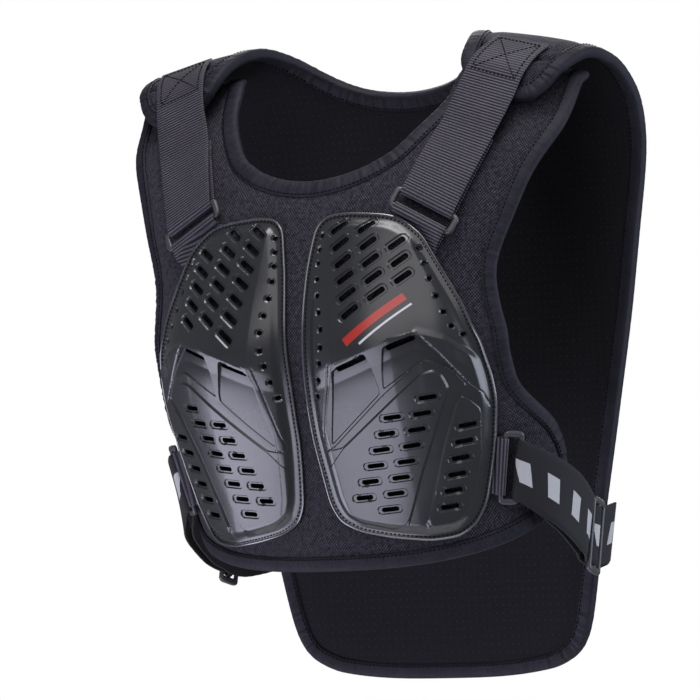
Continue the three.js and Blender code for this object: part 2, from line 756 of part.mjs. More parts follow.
function sideParts() {
  const run = new StrapRun(SIDE_ROUTE, -1);
  const ringPlace = run.lengthAt(SIDE_RING_STATION);
  const innerBar = ringPlace - RING_PITCH / 2;
  const outerBar = ringPlace + RING_PITCH / 2;
  const sliderPlace = run.lengthAt(SIDE_SLIDER_STATION);
  const end = run.lengthAt(SIDE_ROUTE.length - 1);
  const anchor = [
    [innerBar - 22, 1.2],
    [innerBar - 9, FOLD * 0.9],
    ...foldRound(innerBar, FOLD, 1),
    [innerBar - 9, -FOLD * 0.85],
    [innerBar - 22, -1.6],
  ];
  const elastic = [
    ...evenPath([sliderPlace - 9, -SIDE_LAYER], [sliderPlace, -SIDE_LAYER], STRAP_STEP),
    ...foldRound(sliderPlace, SIDE_LAYER, 1).reverse(),
    ...evenPath([sliderPlace - 9, SIDE_LAYER], [outerBar, SIDE_LAYER], STRAP_STEP),
    ...foldRound(outerBar, SIDE_LAYER, -1),
    ...evenPath([outerBar + 9, -SIDE_LAYER], [sliderPlace - 26, -SIDE_LAYER], STRAP_STEP),
    ...evenPath([sliderPlace - 16, SIDE_UNDERPASS], [end, SIDE_UNDERPASS], STRAP_STEP),
    [end, SIDE_UNDERPASS],
  ];
  const tucked = plateRoom(PLATE_MARGIN);
  return {
    side_anchor: [webbing(run, anchor, WEB_THICKNESS, WEB_WIDTH - 2).subtract(tucked), LOOKS.web],
    side_ring: [ring(run, ringPlace), LOOKS.moulding],
    side_strap: [webbing(run, elastic, ELASTIC_THICKNESS), LOOKS.elastic],
    side_slider: [slider(run, sliderPlace), LOOKS.moulding],
  };
}

function addPart(group, name, manifold, look, flip = 1) {
  const { vertProperties, triVerts, numProp } = manifold.getMesh();
  const positions = new Float32Array((vertProperties.length / numProp) * 3);
  for (let i = 0; i < positions.length / 3; i += 1) {
    positions[3 * i] = vertProperties[numProp * i] * flip;
    positions[3 * i + 1] = vertProperties[numProp * i + 1];
    positions[3 * i + 2] = vertProperties[numProp * i + 2];
  }
  const faces = Array.from(triVerts);
  if (flip < 0) {
    for (let i = 0; i < faces.length; i += 3) [faces[i], faces[i + 1]] = [faces[i + 1], faces[i]];
  }
  const geometry = new THREE.BufferGeometry();
  geometry.setAttribute('position', new THREE.BufferAttribute(positions, 3));
  geometry.setIndex(faces);
  const mesh = new THREE.Mesh(geometry, new THREE.MeshStandardMaterial(look));
  mesh.name = name;
  group.add(mesh);
}

const protector = new THREE.Group();
protector.name = 'body_protector';

const panels = { front: [FRONT_EDGES, FRONT_THICKNESS], back: [BACK_EDGES, BACK_THICKNESS] };
for (const [name, [edges, thickness]] of Object.entries(panels)) {
  const sheet = panelSheet(edges);
  const panel = slab(forms[name], sheet, level(0), level(thickness));
  const tape = edgeTape(forms[name], sheet, thickness);
  addPart(protector, `${name}_panel`, panel.toManifold(), LOOKS.mesh);
  addPart(protector, `${name}_edge_tape`, tape.toManifold(), LOOKS.tape);
}
addPart(protector, 'chest_plate_left', chestPlate('left'), LOOKS.plate);
addPart(protector, 'chest_plate_right', chestPlate('right'), LOOKS.plate, -1);
for (const [name, [manifold, look]] of Object.entries({ ...shoulderParts(), ...sideParts() })) {
  addPart(protector, `${name}_left`, manifold, look);
  addPart(protector, `${name}_right`, manifold, look, -1);
}

export default protector;
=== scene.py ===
"""Body protector in its worn form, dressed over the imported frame.

Every piece lies on one of two body forms, front and back. A form is a side profile with an elliptical
section hung on it, read in pattern millimetres: a across from the middle, s down from the shoulder
ridge and h out from the body. Left is the wearer's left, +X, and the right side is its mirror.
"""

import json

import bpy
import numpy as np
from mathutils import Matrix, Vector


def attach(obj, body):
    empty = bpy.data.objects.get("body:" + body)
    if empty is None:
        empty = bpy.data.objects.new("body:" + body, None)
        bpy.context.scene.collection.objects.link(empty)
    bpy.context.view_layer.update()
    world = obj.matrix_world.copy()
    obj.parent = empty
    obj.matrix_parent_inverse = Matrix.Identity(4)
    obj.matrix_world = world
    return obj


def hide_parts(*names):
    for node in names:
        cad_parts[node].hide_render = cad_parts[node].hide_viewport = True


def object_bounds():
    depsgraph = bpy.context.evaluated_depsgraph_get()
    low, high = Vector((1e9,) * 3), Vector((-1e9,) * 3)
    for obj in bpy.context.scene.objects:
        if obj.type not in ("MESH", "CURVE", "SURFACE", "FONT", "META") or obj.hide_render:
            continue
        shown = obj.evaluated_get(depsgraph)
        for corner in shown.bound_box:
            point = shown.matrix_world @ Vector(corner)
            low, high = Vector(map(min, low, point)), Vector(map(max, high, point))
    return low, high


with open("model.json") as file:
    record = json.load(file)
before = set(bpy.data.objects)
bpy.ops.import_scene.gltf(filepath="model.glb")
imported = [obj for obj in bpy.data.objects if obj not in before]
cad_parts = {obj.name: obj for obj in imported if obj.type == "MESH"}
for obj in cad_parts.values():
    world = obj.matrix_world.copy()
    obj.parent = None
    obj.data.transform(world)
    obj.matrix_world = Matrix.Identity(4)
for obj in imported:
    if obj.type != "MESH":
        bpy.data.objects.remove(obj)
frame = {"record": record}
CAD_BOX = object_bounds()
SLOT_COLOUR = {m["slot"]: np.array(m["base_color"][:3]) for m in frame["record"]["materials"]}
# Purple-blue tint on the cloth colours.
CLOTH_TINT = np.array([1.04, 0.95, 1.15])

bl_info = {
    "name": "Body protector",
    "version": (1, 0, 0),
    "blender": (4, 5, 0),
    "location": "3D View > Sidebar > Protector",
    "description": "Padded panels, chest plates, straps and fittings of a body protector",
    "category": "Object",
}

MM = 0.001
SIDES = {"left": 1, "right": -1}


def table(names, rows):
    """Columns of a short table, by name."""
    return dict(zip(names.split(), np.array(rows, float).T))


# Body forms: side profile at the middle, and the half width and wrap depth of each section.
FRONT_STATIONS = table("y z width wrap", [
    (54, -8, 240, 46),
    (27, 2, 240, 46),
    (5.6, -2.9, 238, 46),
    (-19, -29, 232, 48),
    (-54, -66, 212, 54),
    (-84, -120, 192, 68),
    (-99, -172, 182, 79),
    (-107, -228, 178, 84),
    (-102, -268, 177, 88),
    (-88, -330, 173, 97),
    (-78, -385, 166, 104),
    (-75, -425, 162, 104),
])
FRONT_RIDGE_ROW = 2
BACK_STATIONS = table("y z width wrap", [
    (-36, -33, 244, 56),
    (-19, 2, 246, 57),
    (6, 18, 250, 59),
    (32, 23, 252, 58),
    (62, 14, 254, 54),
    (90, -16, 256, 46),
    (108, -66, 256, 38),
    (116, -150, 250, 38),
    (114, -300, 240, 38),
    (110, -420, 232, 38),
    (112, -512, 228, 38),
])
BACK_RIDGE_ROW = 3

# Edges of one half of each panel. The neck edge ends on the middle line at the throat row.
FRONT_EDGES = table("neck_a neck_s arm_a arm_s", [
    (148, -46, 188, -46),
    (132, -36, 205, -36),
    (114, -14, 210, -13),
    (105.5, 10, 209, 20),
    (103, 32, 206, 50),
    (95, 53, 200, 70),
    (75, 89, 188, 106),
    (62, 101, 183, 124),
    (48, 110, 177, 147),
    (33, 116, 171, 168),
    (17, 120, 166.5, 186),
    (0, 121.5, 165.5, 202),
    (0, 155, 169, 222),
    (0, 192, 175, 250),
    (0, 230, 176, 280),
    (0, 268, 180, 308),
    (0, 305, 192, 330),
    (0, 342, 209, 352),
    (0, 380, 218, 374),
    (0, 413, 217, 391),
    (0, 436, 209, 405),
    (0, 445.5, 192, 417),
])
BACK_EDGES = table("neck_a neck_s arm_a arm_s", [
    (143, -91, 180, -92),
    (128, -79, 195, -78),
    (118, -61, 203, -56),
    (114, -40, 208, -34),
    (109, -20, 212, -8),
    (99, 11, 219, 30),
    (91, 29, 223, 55),
    (78, 47, 225, 80),
    (60, 62, 224, 108),
    (40, 72, 220, 134),
    (20, 76.5, 215, 160),
    (0, 78, 209, 190),
    (0, 140, 201, 230),
    (0, 210, 190, 290),
    (0, 360, 164, 420),
    (0, 430, 153, 476),
    (0, 495, 143, 524),
    (0, 540, 135, 545),
    (0, 564.5, 124, 557),
    (0, 574, 106, 566),
])
THROAT = 11
OUTLINE_STEP = 1.5
OUTLINE_ROUNDING = 5.0
EDGE_TUCK = 4.5
NECK_BINDING = 0.2
PANEL_GRID = (8, 46)
SWELL_GRID = (3, 18)
SWELL_FRAMES = 20
SWELL_BORDER = 11.0
SWELL_PRESSURE = 4.0
SWELL_CAP = 1.4
PAD_CREASES = [[(166, -57), (183, -51), (200, -43)], [(150, -42), (128, -37), (118, -34)]]
CREASE_DEPTH = 3.4
CREASE_WIDTH = 2.4
PAD_RISE_START = 10.0
PAD_RISE_WIDTH = 16.0
BORDER_PULL = 1.15
SEAM_INSET = 10.4
SEAM_WIDTH = 1.5
SEAM_PULL = 0.5
CREASE_START = 6.0
CREASE_FADE = 5.0
SWELL_BLUR = (4.0, 1.5)
PAD_SEEDS = {"front": 11, "back": 23}

# Binding and thread. A stitch is a row of rings: share of its length, then rise and girth in radii.
BINDING_SEED = 31
BINDING_BLUR = 12.0
NECK_NEAR = 6.0
GATHER_WAVES = (5.3, 7.9, 12.7)
GATHER_FLAT = 0.12
GATHER_BENT = 0.4
GATHER_BEND = 0.016
GATHER_GAIN = 1.6
GATHER_CREEP = 0.35
GATHER_INSET = 3.0
THREAD_INSET = 1.7
THREAD_RISE = 0.6
STITCH_LENGTH = 2.7
STITCH_RADIUS = 0.55
STITCH_SIDES = 5
STITCH_RINGS = table("share rise girth", [
    (-0.5, -0.9, 0.45),
    (-0.28, 0.1, 1.0),
    (0.28, 0.1, 1.0),
    (0.5, -0.9, 0.45),
])

# Chest plate outline and relief on the front panel's pattern.
PLATE_OUTLINE = [
    (13, 174), (15, 162), (25, 152.5), (44, 151), (78, 153), (91, 157), (108, 170), (125, 198), (141, 225),
    (154, 260), (160, 297), (160.4, 319), (155, 347), (147, 376), (139.5, 400), (129, 416), (115, 424.5),
    (92, 426), (61, 421), (35, 414.5), (19, 405), (12, 390), (8.5, 361), (6, 335), (5.7, 307), (6, 284),
    (7, 262), (8, 223), (9.5, 198),
]
PLATE_SIDES = table("s inner outer", [
    (151, 44, 66),
    (156, 20, 89),
    (165, 14.5, 102),
    (186, 11, 118),
    (214, 8.6, 134.5),
    (240, 7.4, 146.5),
    (270, 6.5, 156),
    (296, 5.8, 160),
    (325, 6, 160),
    (355, 7.6, 153.5),
    (382, 10.6, 145.5),
    (399, 15, 139.5),
    (412, 29, 132),
    (426, 84, 104),
])
PLATE_BASE = 6.8
RIM_HEIGHT = 9.3
RIM_WIDTH = 5.0
BUST_RIDGE = table("a s", [(6, 281), (39, 272), (65, 263), (104, 250), (127, 256.5), (144, 272), (156, 283)])
FIELD_FOLDS = table("s inner inner_h outer outer_h crown", [
    (150, 27, 11.6, 90, 11.4, 0.3),
    (164, 28.6, 12.7, 96, 12.3, 0.6),
    (206, 32.6, 15.7, 103.6, 15, 1.0),
    (240, 35.3, 19.8, 104.8, 18.2, 3.0),
    (262, 37.2, 22.6, 105.2, 20, 4.2),
    (285, 38, 24, 105.5, 20, 4.2),
])
BELOW_RIDGE = table("below rise", [
    (0, 14), (15, 10.6), (40, 8.6), (60, 7.4), (100, 5.8), (140, 4.8), (175, 4.2),
])
ACROSS_SHARE = table("a share", [(0, 1), (85, 1), (108, 0.86), (134, 0.58), (160, 0.5)])
INNER_WINDOW = [(37, 277), (33, 302), (25, 338.5), (72.8, 299), (72.4, 292), (69.3, 277), (65.5, 265.5)]
OUTER_WINDOW = [
    (79.8, 262), (76.8, 279), (75.3, 296), (104, 278), (111, 275), (121, 279), (130, 285.5), (141, 300),
    (121.8, 270), (107, 253),
]
BAND = [
    (22, 343), (74, 300), (104, 278), (111, 275), (121, 279), (130, 285.5), (139, 299), (134, 308),
    (129.6, 314), (113, 350.6), (92, 408), (90, 421), (72, 419), (78.6, 404), (94, 367), (114, 325),
    (125, 299), (121, 288), (115, 284), (106, 286), (93, 296), (34, 341),
]
LOW_FIELD = [
    (19, 358), (34, 341), (93, 296), (106, 286), (115, 284), (121, 288), (125, 299), (114, 325), (94, 367),
    (78.6, 404), (74.7, 410), (64, 414), (38.5, 406), (26.5, 397), (19, 371),
]
SIDE_FIELD = [
    (134, 308), (139, 312), (146, 321.6), (146, 328), (139, 367), (131.6, 394), (122.7, 408.7), (112.5, 416),
    (99, 417), (92.6, 413), (92, 408), (113, 350.6), (129.6, 314),
]
SCORES = [
    [(34, 273), (17.5, 338), (19.4, 342.7), (26, 340)],
    [(106.8, 252), (121.8, 270), (141.6, 300), (150, 308.6), (154, 322)],
]

# Vents: the upper field's rows and the lower banks step on from their first slot.
FIELD_SLOT = {"length": 16, "width": 5, "turn": -38}
FIELD_POCKET = {"length": 21.5, "width": 9.4, "turn": -38}
FIELD_START = {"a": 37.5, "s": 164.5, "step_a": 3.3, "step_s": 14, "pitch": 23.6}
FIELD_COUNTS = {"left": (2, 3, 3, 3, 2, 1), "right": (2, 3, 3, 3, 3, 3, 1)}
LOW_SLOT = {"length": 14, "width": 4, "turn": -2}
LOW_POCKET = {"length": 20.4, "width": 7.6, "turn": -2}
LOW_BANKS = table("count a s step_a step_s", [
    (8, 108.5, 305.8, -6.4, 12.86),
    (6, 78.7, 318.8, -6.8, 13.1),
    (6, 134.2, 334.3, -4.9, 12.95),
])
HOLE = {"length": 4, "width": 4, "turn": 0}
HOLE_POCKET = {"length": 6.6, "width": 6.6, "turn": 0}
INNER_HOLES = table("a s", [
    (22, 170), (21, 181.5), (20.7, 193), (21, 206), (22.6, 220), (25.3, 233.5), (27.8, 246.7), (27.5, 260),
    (25.2, 271.6), (22, 284.4), (18.3, 297.8),
])
OUTER_HOLES = table("a s", [
    (105.5, 181.5), (110.5, 194.4), (115, 207), (120.5, 221.3), (126.5, 234.5), (132.5, 246.8), (141, 254.6),
])
SLITS = [
    (53, 272.6, {"length": 26, "width": 4.2, "turn": -19}),
    (93.5, 259.4, {"length": 24, "width": 4.2, "turn": -19}),
]
PLATE_GRID = 0.92
PLATE_STEP = 2.5
PLATE_ROUNDING = 5.0
REGION_STEP = 2.0
REGION_ROUNDING = 1.6
RIM_FALL = 9.0
LIP_ENDS = (36.0, 107.0)
LIP_FADE = 4.0
LIP_WIDTH = 1.2
RIDGE_WIDTH = 8.0
INNER_CURVE = 0.8
OUTER_CURVE = 1.6
FLANK = table("below width", [(0, 27), (45, 12)])
FLANK_CURVE = 0.75
OUTLINE_SNAP = 0.56
CREASE_SNAP = 0.5
SCOOP_DEPTH = 4.0
SCOOP_FADE = 16.0
WINDOW_DEPTH = 0.7
BAND_DEPTH = 0.9
BAND_FADE = 8.0
FIELD_RISE = 0.7
SCORE_DEPTH = 0.5
POCKET_DEPTH = 1.2
GROOVE_DEPTH = 0.3
GROOVE_INSET = 6.0
GROOVE_WIDTH = 2.0
BEVEL = 0.9
BEAD_INSET = 1.0
BEAD_RADIUS = 1.05
BEAD_SIDES = 8
BEAD_SINK = 0.2
RIM_THREAD_INSET = 3.2
RIM_THREAD_SINK = 0.15
ACCENT = {"a": 74, "s": 240, "turn": -37}

# Strap routes on the wearer's left: panel, pattern place, height and turn of the strap's width. A free
# station is given by x, y and z instead of a pattern place and height.
SHOULDER_ROUTE = [
    ("back", 161, -29, 11.6, -9),
    ("back", 157, -46, 11.6, -11),
    ("back", 151, -66, 12.5, -14),
    ("back", 145, -88, 13.8, -16),
    ("front", 133.8, 75, 16.2, 15.5),
    ("front", 124.4, 103.7, 13.4, 19),
    ("front", 116, 128.4, 12.9, 22.5),
    ("front", 108, 151, 13.2, 26),
    ("front", 90, 188, 11, 26),
]
SHOULDER_RING_STATION = 7
RETURN_LENGTH = 70
ANCHOR_REACH = 34
TUCK_HEIGHT = 7.3
TUCK_LENGTH = 9.0
SIDE_ROUTE = [
    ("front", 139, 370, 10.8, 100),
    ("front", 160.5, 376, 11.5, 104),
    ("front", 179, 389, 13.6, 113),
    ("front", 200, 410, 17.5, 123),
    ("free", 176.5, 60, -396, 16),
    ("back", 166.5, 456, 18.5, 100),
    ("back", 146, 461, 19, 92),
    ("back", 120, 466, 17.8, 88),
]
SIDE_RING_STATION = 1
SIDE_SLIDER_STATION = 4
RING_BAR = 3.6
RING_END = 5.0
RING_PITCH = 14.0
SLIDER_LENGTH = 64.0
SLIDER_DEPTH = 24.0
SLIDER_END = 6.0
BAR_SIDES = 14
STRAP_STEP = 0.45
STRAP_BLUR = 4.0
RIB_DEPTH = 0.3
RIB_FADE = 8.0
PLAIN_RIBS = 0.25
PLAIN_END = 34.0
EDGE_WAVER = 0.12
EDGE_WAVES = (9.0, 23.0)
WAVER_SEED = 5
FOLD_GAP = 0.5
ELASTIC_GAP = 0.7
UNDER_GAP = 1.4
TUCK_CLEAR = 2.0
TUCK_FADE = 5.0
LAYER_SHARE = 0.45
LAYER_MIDDLE = 3.0
RING_SLACK = 1.0
RING_CORNER = 2.2
LUG_LENGTH = 3.0
LUG_RISE = 0.35

# Stitched boxes on the strap ends, as (length, width); the side strap's is counted from its far end.
SHOULDER_BOX = [(5, -20), (46, -20), (46, 20), (5, 20), (5, -20), (46, 20), (46, -20), (5, 20)]
SIDE_BOX = [(-4, -21), (-26, -21), (-26, 21), (-4, 21), (-4, -21), (-26, 21)]

# Looks: shader values, plain dashes of the elastic, fixed dark and pale colours (painted shade in the eyelets
# and rib grooves, painted light in the pin holes, and a painted line), and how sharp marks end.
MATT_CLOTH = {"Sheen Weight": 0.02, "Specular IOR Level": 0.15}
DASH = {"pitch": 30, "slant": 0.35, "share": 0.44, "width": 18}
EYELET_PAINTED_SHADE = (0.003, 0.003, 0.004, 1.0)
PIN_HOLE_PAINTED_LIGHT = (0.022, 0.021, 0.018, 1.0)
RIB_GROOVE_PAINTED_SHADE = (0.002, 0.002, 0.0025, 1.0)
LINE_PAINT = (0.42, 0.42, 0.44, 1.0)
PAINT_EDGE = 8000.0
WEAVE_EDGE = 6000.0
DOT_EDGE = 24.0

# Camera of the view: turned round the object, rolled, and far off, as a long lens sees it.
CAMERA_TURN = np.radians(30.0)
CAMERA_ROLL = np.radians(2.95)
CAMERA_AIM = (-12.5, -232.0)
CAMERA_DISTANCE = 4.7
PIXELS_PER_MM = 1.2
IMAGE_PIXELS = 700
SENSOR_MM = 36.0
FLOOR_DROP = 0.5
FLOOR_SIDES = 96

# Soft lights by name: place in metres, side of the square, power and colour. All face one point.
LIGHTS = {
    "overhead": ((0.25, -0.45, 1.9), 1.4, 60.0, (0.98, 0.965, 1.0)),
    "high_front": ((0.6, -1.65, 1.0), 1.8, 22.0, (0.98, 0.965, 1.0)),
    "low_front": ((-0.3, -1.75, -1.4), 1.1, 24.0, (0.81, 0.80, 1.0)),
    "low_left": ((-1.5, -0.95, -1.3), 1.2, 30.0, (0.81, 0.80, 1.0)),
    "back_soft": ((-0.9, 2.3, 0.8), 1.7, 60.0, (0.98, 0.965, 1.0)),
    "right_side": ((2.0, 0.7, -0.1), 1.6, 48.0, (0.78, 0.85, 1.0)),
}
LIGHT_AIM = (0.0, 0.0, -0.23)
SURROUND_LIGHT = 0.18
SURROUND_SEEN = 0.82


def length_property(name, description, millimetres):
    """Length setting with its default in millimetres."""
    return bpy.props.FloatProperty(
        name=name, description=description, default=millimetres * MM, min=0.0, unit="LENGTH", precision=4
    )


def colour_property(name, description, colour):
    """Colour setting with its default."""
    return bpy.props.FloatVectorProperty(
        name=name, description=description, default=tuple(colour), size=3, min=0.0, max=1.0, subtype="COLOR"
    )


class ProtectorSizes(bpy.types.PropertyGroup):
    """Sizes of the sewn and moulded pieces."""

    front_thickness: length_property("Front thickness", "Padded front panel, face to face", 6)
    back_thickness: length_property("Back thickness", "Padded back panel, face to face", 9)
    tape_width: length_property("Binding width", "Width of the edge binding on each face", 10.5)
    tape_thickness: length_property("Binding thickness", "Thickness of the folded binding", 1.2)
    plate_thickness: length_property("Plate thickness", "Wall of the chest plates", 2.5)
    webbing_width: length_property("Webbing width", "Width of all straps", 50)
    webbing_thickness: length_property("Webbing thickness", "Thickness of the shoulder webbing", 1.6)
    elastic_thickness: length_property("Elastic thickness", "Thickness of the side straps", 1.8)
    rib_pitch: length_property("Rib pitch", "Distance between the ribs of the webbing", 2.45)
    stitch_pitch: length_property("Stitch pitch", "Distance between stitches", 3.6)


class ProtectorColours(bpy.types.PropertyGroup):
    """Colours of the cloth, plastic and thread."""

    knit: colour_property("Knit", "Spacer knit of the panels", SLOT_COLOUR["mesh_knit"] * CLOTH_TINT)
    tape: colour_property("Binding", "Edge binding", SLOT_COLOUR["edge_tape"] * CLOTH_TINT)
    plate: colour_property("Plate", "Chest plates", SLOT_COLOUR["plate"])
    webbing: colour_property("Webbing", "Shoulder webbing", SLOT_COLOUR["webbing"] * CLOTH_TINT)
    elastic: colour_property("Elastic", "Side straps", SLOT_COLOUR["elastic"] * CLOTH_TINT)
    moulding: colour_property("Moulding", "Rings and sliders", SLOT_COLOUR["moulding"])
    thread: colour_property("Thread", "Stitching", (0.003, 0.003, 0.004))
    dash: colour_property("Dash", "Woven dashes of the side straps", (0.42, 0.43, 0.44))
    accent: colour_property("Accent", "Painted bar on a chest plate", (0.28, 0.02, 0.014))
    floor: colour_property("Floor", "Floor under the object", (0.86, 0.86, 0.85))


# Number work
def smooth_step(x):
    """Rise from 0 to 1 as x does, level at both ends: 3 x^2 - 2 x^3."""
    x = np.clip(x, 0.0, 1.0)
    return x * x * (3.0 - 2.0 * x)


def unit(vectors):
    """Vectors of the last axis at length 1."""
    return vectors / np.maximum(np.linalg.norm(vectors, axis=-1, keepdims=True), 1e-12)


def cubic(knots, values, x):
    """Cubic through (knots, values) with three-point slopes: its value and slope at every x."""
    steps = np.diff(knots)
    chords = np.diff(values) / steps
    inner = (chords[:-1] * steps[1:] + chords[1:] * steps[:-1]) / (steps[:-1] + steps[1:])
    slopes = np.concatenate([chords[:1], inner, chords[-1:]])
    i = np.clip(np.searchsorted(knots, x) - 1, 0, len(steps) - 1)
    t = (x - knots[i]) / steps[i]
    a, b = values[i], values[i + 1]
    ma, mb = slopes[i] * steps[i], slopes[i + 1] * steps[i]
    c2 = 3.0 * (b - a) - 2.0 * ma - mb
    c3 = 2.0 * (a - b) + ma + mb
    return a + t * (ma + t * (c2 + t * c3)), (ma + t * (2.0 * c2 + 3.0 * t * c3)) / steps[i]


def read(columns, by, name, x):
    """Straight-line reading of one table column by another."""
    return np.interp(x, columns[by], columns[name])


def path_length(points):
    """Length along a line of points, from its first point to each of them."""
    steps = np.linalg.norm(np.diff(points, axis=0), axis=1)
    return np.concatenate([[0.0], np.cumsum(steps)])


def along_line(lengths, values, at):
    """Rows of values known at lengths along a line, read at other lengths."""
    return np.stack([np.interp(at, lengths, column) for column in values.T], -1)


def spread(points, count):
    """A line of points read again at even steps."""
    lengths = path_length(points)
    return along_line(lengths, points, np.linspace(0.0, lengths[-1], count))


def average(points, width, closed):
    """Gaussian average of evenly spaced points over a width in steps; an open line keeps its ends."""
    reach = int(np.ceil(3 * width))
    weights = np.exp(-0.5 * (np.arange(-reach, reach + 1) / width) ** 2)
    weights /= weights.sum()
    if closed:
        padded = np.concatenate([points[-reach:], points, points[:reach]])
    else:
        head = 2 * points[0] - points[1 : reach + 1][::-1]
        tail = 2 * points[-1] - points[-reach - 1 : -1][::-1]
        padded = np.concatenate([head, points, tail])
    return np.stack([np.convolve(column, weights, "valid") for column in padded.T], -1)


def rounded_loop(corners, step, rounding):
    """Closed outline through corners, read at even steps and rounded by a Gaussian average."""
    loop = np.array([*corners, corners[0]], float)
    count = max(int(path_length(loop)[-1] / step), 12)
    return average(spread(loop, count + 1)[:-1], rounding / step, True)


def polygon_distance(points, loop):
    """Signed distance to a closed outline, negative inside: nearest side, with the sign by crossings."""
    best = np.full(len(points), 1e9)
    inside = np.zeros(len(points), bool)
    x, y = points.T
    for (ax, ay), (bx, by) in zip(loop, np.roll(loop, -1, 0)):
        ex, ey = bx - ax, by - ay
        t = np.clip(((x - ax) * ex + (y - ay) * ey) / (ex * ex + ey * ey), 0.0, 1.0)
        best = np.minimum(best, (x - ax - t * ex) ** 2 + (y - ay - t * ey) ** 2)
        crosses = (ay > y) != (by > y)
        if ey != 0.0:
            inside ^= crosses & (x < ax + (y - ay) * ex / ey)
    return np.where(inside, -1.0, 1.0) * np.sqrt(best)


def line_distance(points, line):
    """Distance to an open line of points, negative to one side of it."""
    best = np.full(len(points), 1e9)
    for p, q in zip(line[:-1], line[1:]):
        offset, along = points - p, np.subtract(q, p)
        t = np.clip(offset @ along / (along @ along), 0.0, 1.0)
        reach = np.linalg.norm(offset - t[:, None] * along, axis=1)
        reach = np.copysign(reach, along[0] * offset[:, 1] - along[1] * offset[:, 0])
        best = np.where(np.abs(reach) < np.abs(best), reach, best)
    return best


def slot_distance(points, a, s, shape):
    """Signed distance to a bar with rounded corners: box distance in its own axes, less the corner."""
    turn = np.radians(shape["turn"])
    along = np.array([np.cos(turn), np.sin(turn)])
    across = np.array([-along[1], along[0]])
    offset = points - (a, s)
    u, v = np.abs(offset @ along), np.abs(offset @ across)
    corner = 0.86 * shape["width"] / 2
    qu = u - shape["length"] / 2 + corner
    qv = v - shape["width"] / 2 + corner
    outside = np.hypot(np.maximum(qu, 0.0), np.maximum(qv, 0.0))
    return outside + np.minimum(np.maximum(qu, qv), 0.0) - corner


def ripple(lengths, waves, seed):
    """Uneven ripple along a length: a sum of sines of the given wave lengths with seeded phases."""
    phases = np.random.default_rng(seed).uniform(0.0, 2 * np.pi, len(waves))
    return sum(np.sin(2 * np.pi * lengths / wave + phase) for wave, phase in zip(waves, phases)) / len(waves)


class BodyForm:
    """Body surface: x = A sin(p), and B (1 - cos(p)) behind the side profile, where A and B are the
    section's half width and wrap, and p is the ellipse angle at arc length a."""

    def __init__(self, stations, ridge_row, outward):
        profile = np.stack([stations["y"], stations["z"]], -1)
        lengths = path_length(profile)
        self.knots = lengths - lengths[ridge_row]
        self.stations = stations
        self.outward = outward

    @staticmethod
    def angle(a, width, wrap):
        """Ellipse angle at arc length a, by Newton's steps on Simpson's rule."""
        weights = np.array([1, 4, 2, 4, 2, 4, 2, 4, 1]) / 24.0
        parts = np.arange(9) / 8.0
        angle = a / width
        for _ in range(6):
            u = angle[..., None] * parts
            speed = np.hypot(width[..., None] * np.cos(u), wrap[..., None] * np.sin(u))
            angle = angle - (angle * (speed @ weights) - a) / speed[..., -1]
        return angle

    def at(self, a, s, h):
        """Points in metres at pattern place (a, s) and height h."""
        a, s, h = (np.array(v, float) for v in np.broadcast_arrays(a, s, h))
        (y, dy), (z, dz), (width, _), (wrap, _) = (
            cubic(self.knots, self.stations[name], s) for name in ("y", "z", "width", "wrap")
        )
        run = np.hypot(dy, dz)
        ny, nz = -self.outward * dz / run, self.outward * dy / run
        angle = self.angle(a, width, wrap)
        side, front = wrap * np.sin(angle), width * np.cos(angle)
        size = np.hypot(side, front)
        lift = h * front / size - wrap * (1.0 - np.cos(angle))
        return np.stack([width * np.sin(angle) + h * side / size, y + lift * ny, z + lift * nz], -1) * MM

    def up(self, a, s, h):
        """Directions out of the body."""
        return unit(self.at(a, s, np.add(h, 1.0)) - self.at(a, s, h))


FORMS = {
    "front": BodyForm(FRONT_STATIONS, FRONT_RIDGE_ROW, -1),
    "back": BodyForm(BACK_STATIONS, BACK_RIDGE_ROW, 1),
}


# Meshes
def grid_faces(rows, columns, wrap_rows=False, wrap_columns=False):
    """Quads between the points of a grid numbered row by row."""
    ids = np.arange(rows * columns).reshape(rows, columns)
    if wrap_rows:
        ids = np.concatenate([ids, ids[:1]])
    if wrap_columns:
        ids = np.concatenate([ids, ids[:, :1]], 1)
    return np.stack([ids[:-1, :-1], ids[1:, :-1], ids[1:, 1:], ids[:-1, 1:]], -1).reshape(-1, 4)


def end_caps(rows, columns):
    """Faces that close both ends of a tube whose points are numbered row by row."""
    first = np.arange(columns)
    return np.stack([first[::-1], first + (rows - 1) * columns])


def open_edges(faces):
    """Directed edges that only one face of a sheet uses."""
    edges = np.stack([faces, np.roll(faces, -1, 1)], -1).reshape(-1, 2)
    size = int(faces.max()) + 1
    forward = edges[:, 0].astype(np.int64) * size + edges[:, 1]
    backward = edges[:, 1].astype(np.int64) * size + edges[:, 0]
    return edges[~np.isin(forward, backward)]


def slab(faces, count):
    """Faces of a closed slab: a sheet of count points, its copy below, and walls along the open edges."""
    rim = open_edges(faces)
    walls = np.stack([rim[:, 1], rim[:, 0], rim[:, 0] + count, rim[:, 1] + count], -1)
    return [faces, faces[:, ::-1] + count, walls]


def enclosed(points, faces):
    """Signed volume inside closed faces, summed over fans of triangles."""
    total = 0.0
    for group in faces:
        first = points[group[:, 0]]
        for k in range(1, group.shape[1] - 1):
            total += np.einsum("ij,ij->", first, np.cross(points[group[:, k]], points[group[:, k + 1]]))
    return total / 6.0


def outward(points, faces):
    """Groups of faces turned so that they enclose a positive volume."""
    groups = [np.asarray(group, np.int32) for group in faces if len(group)]
    return groups if enclosed(points, groups) > 0.0 else [group[:, ::-1] for group in groups]


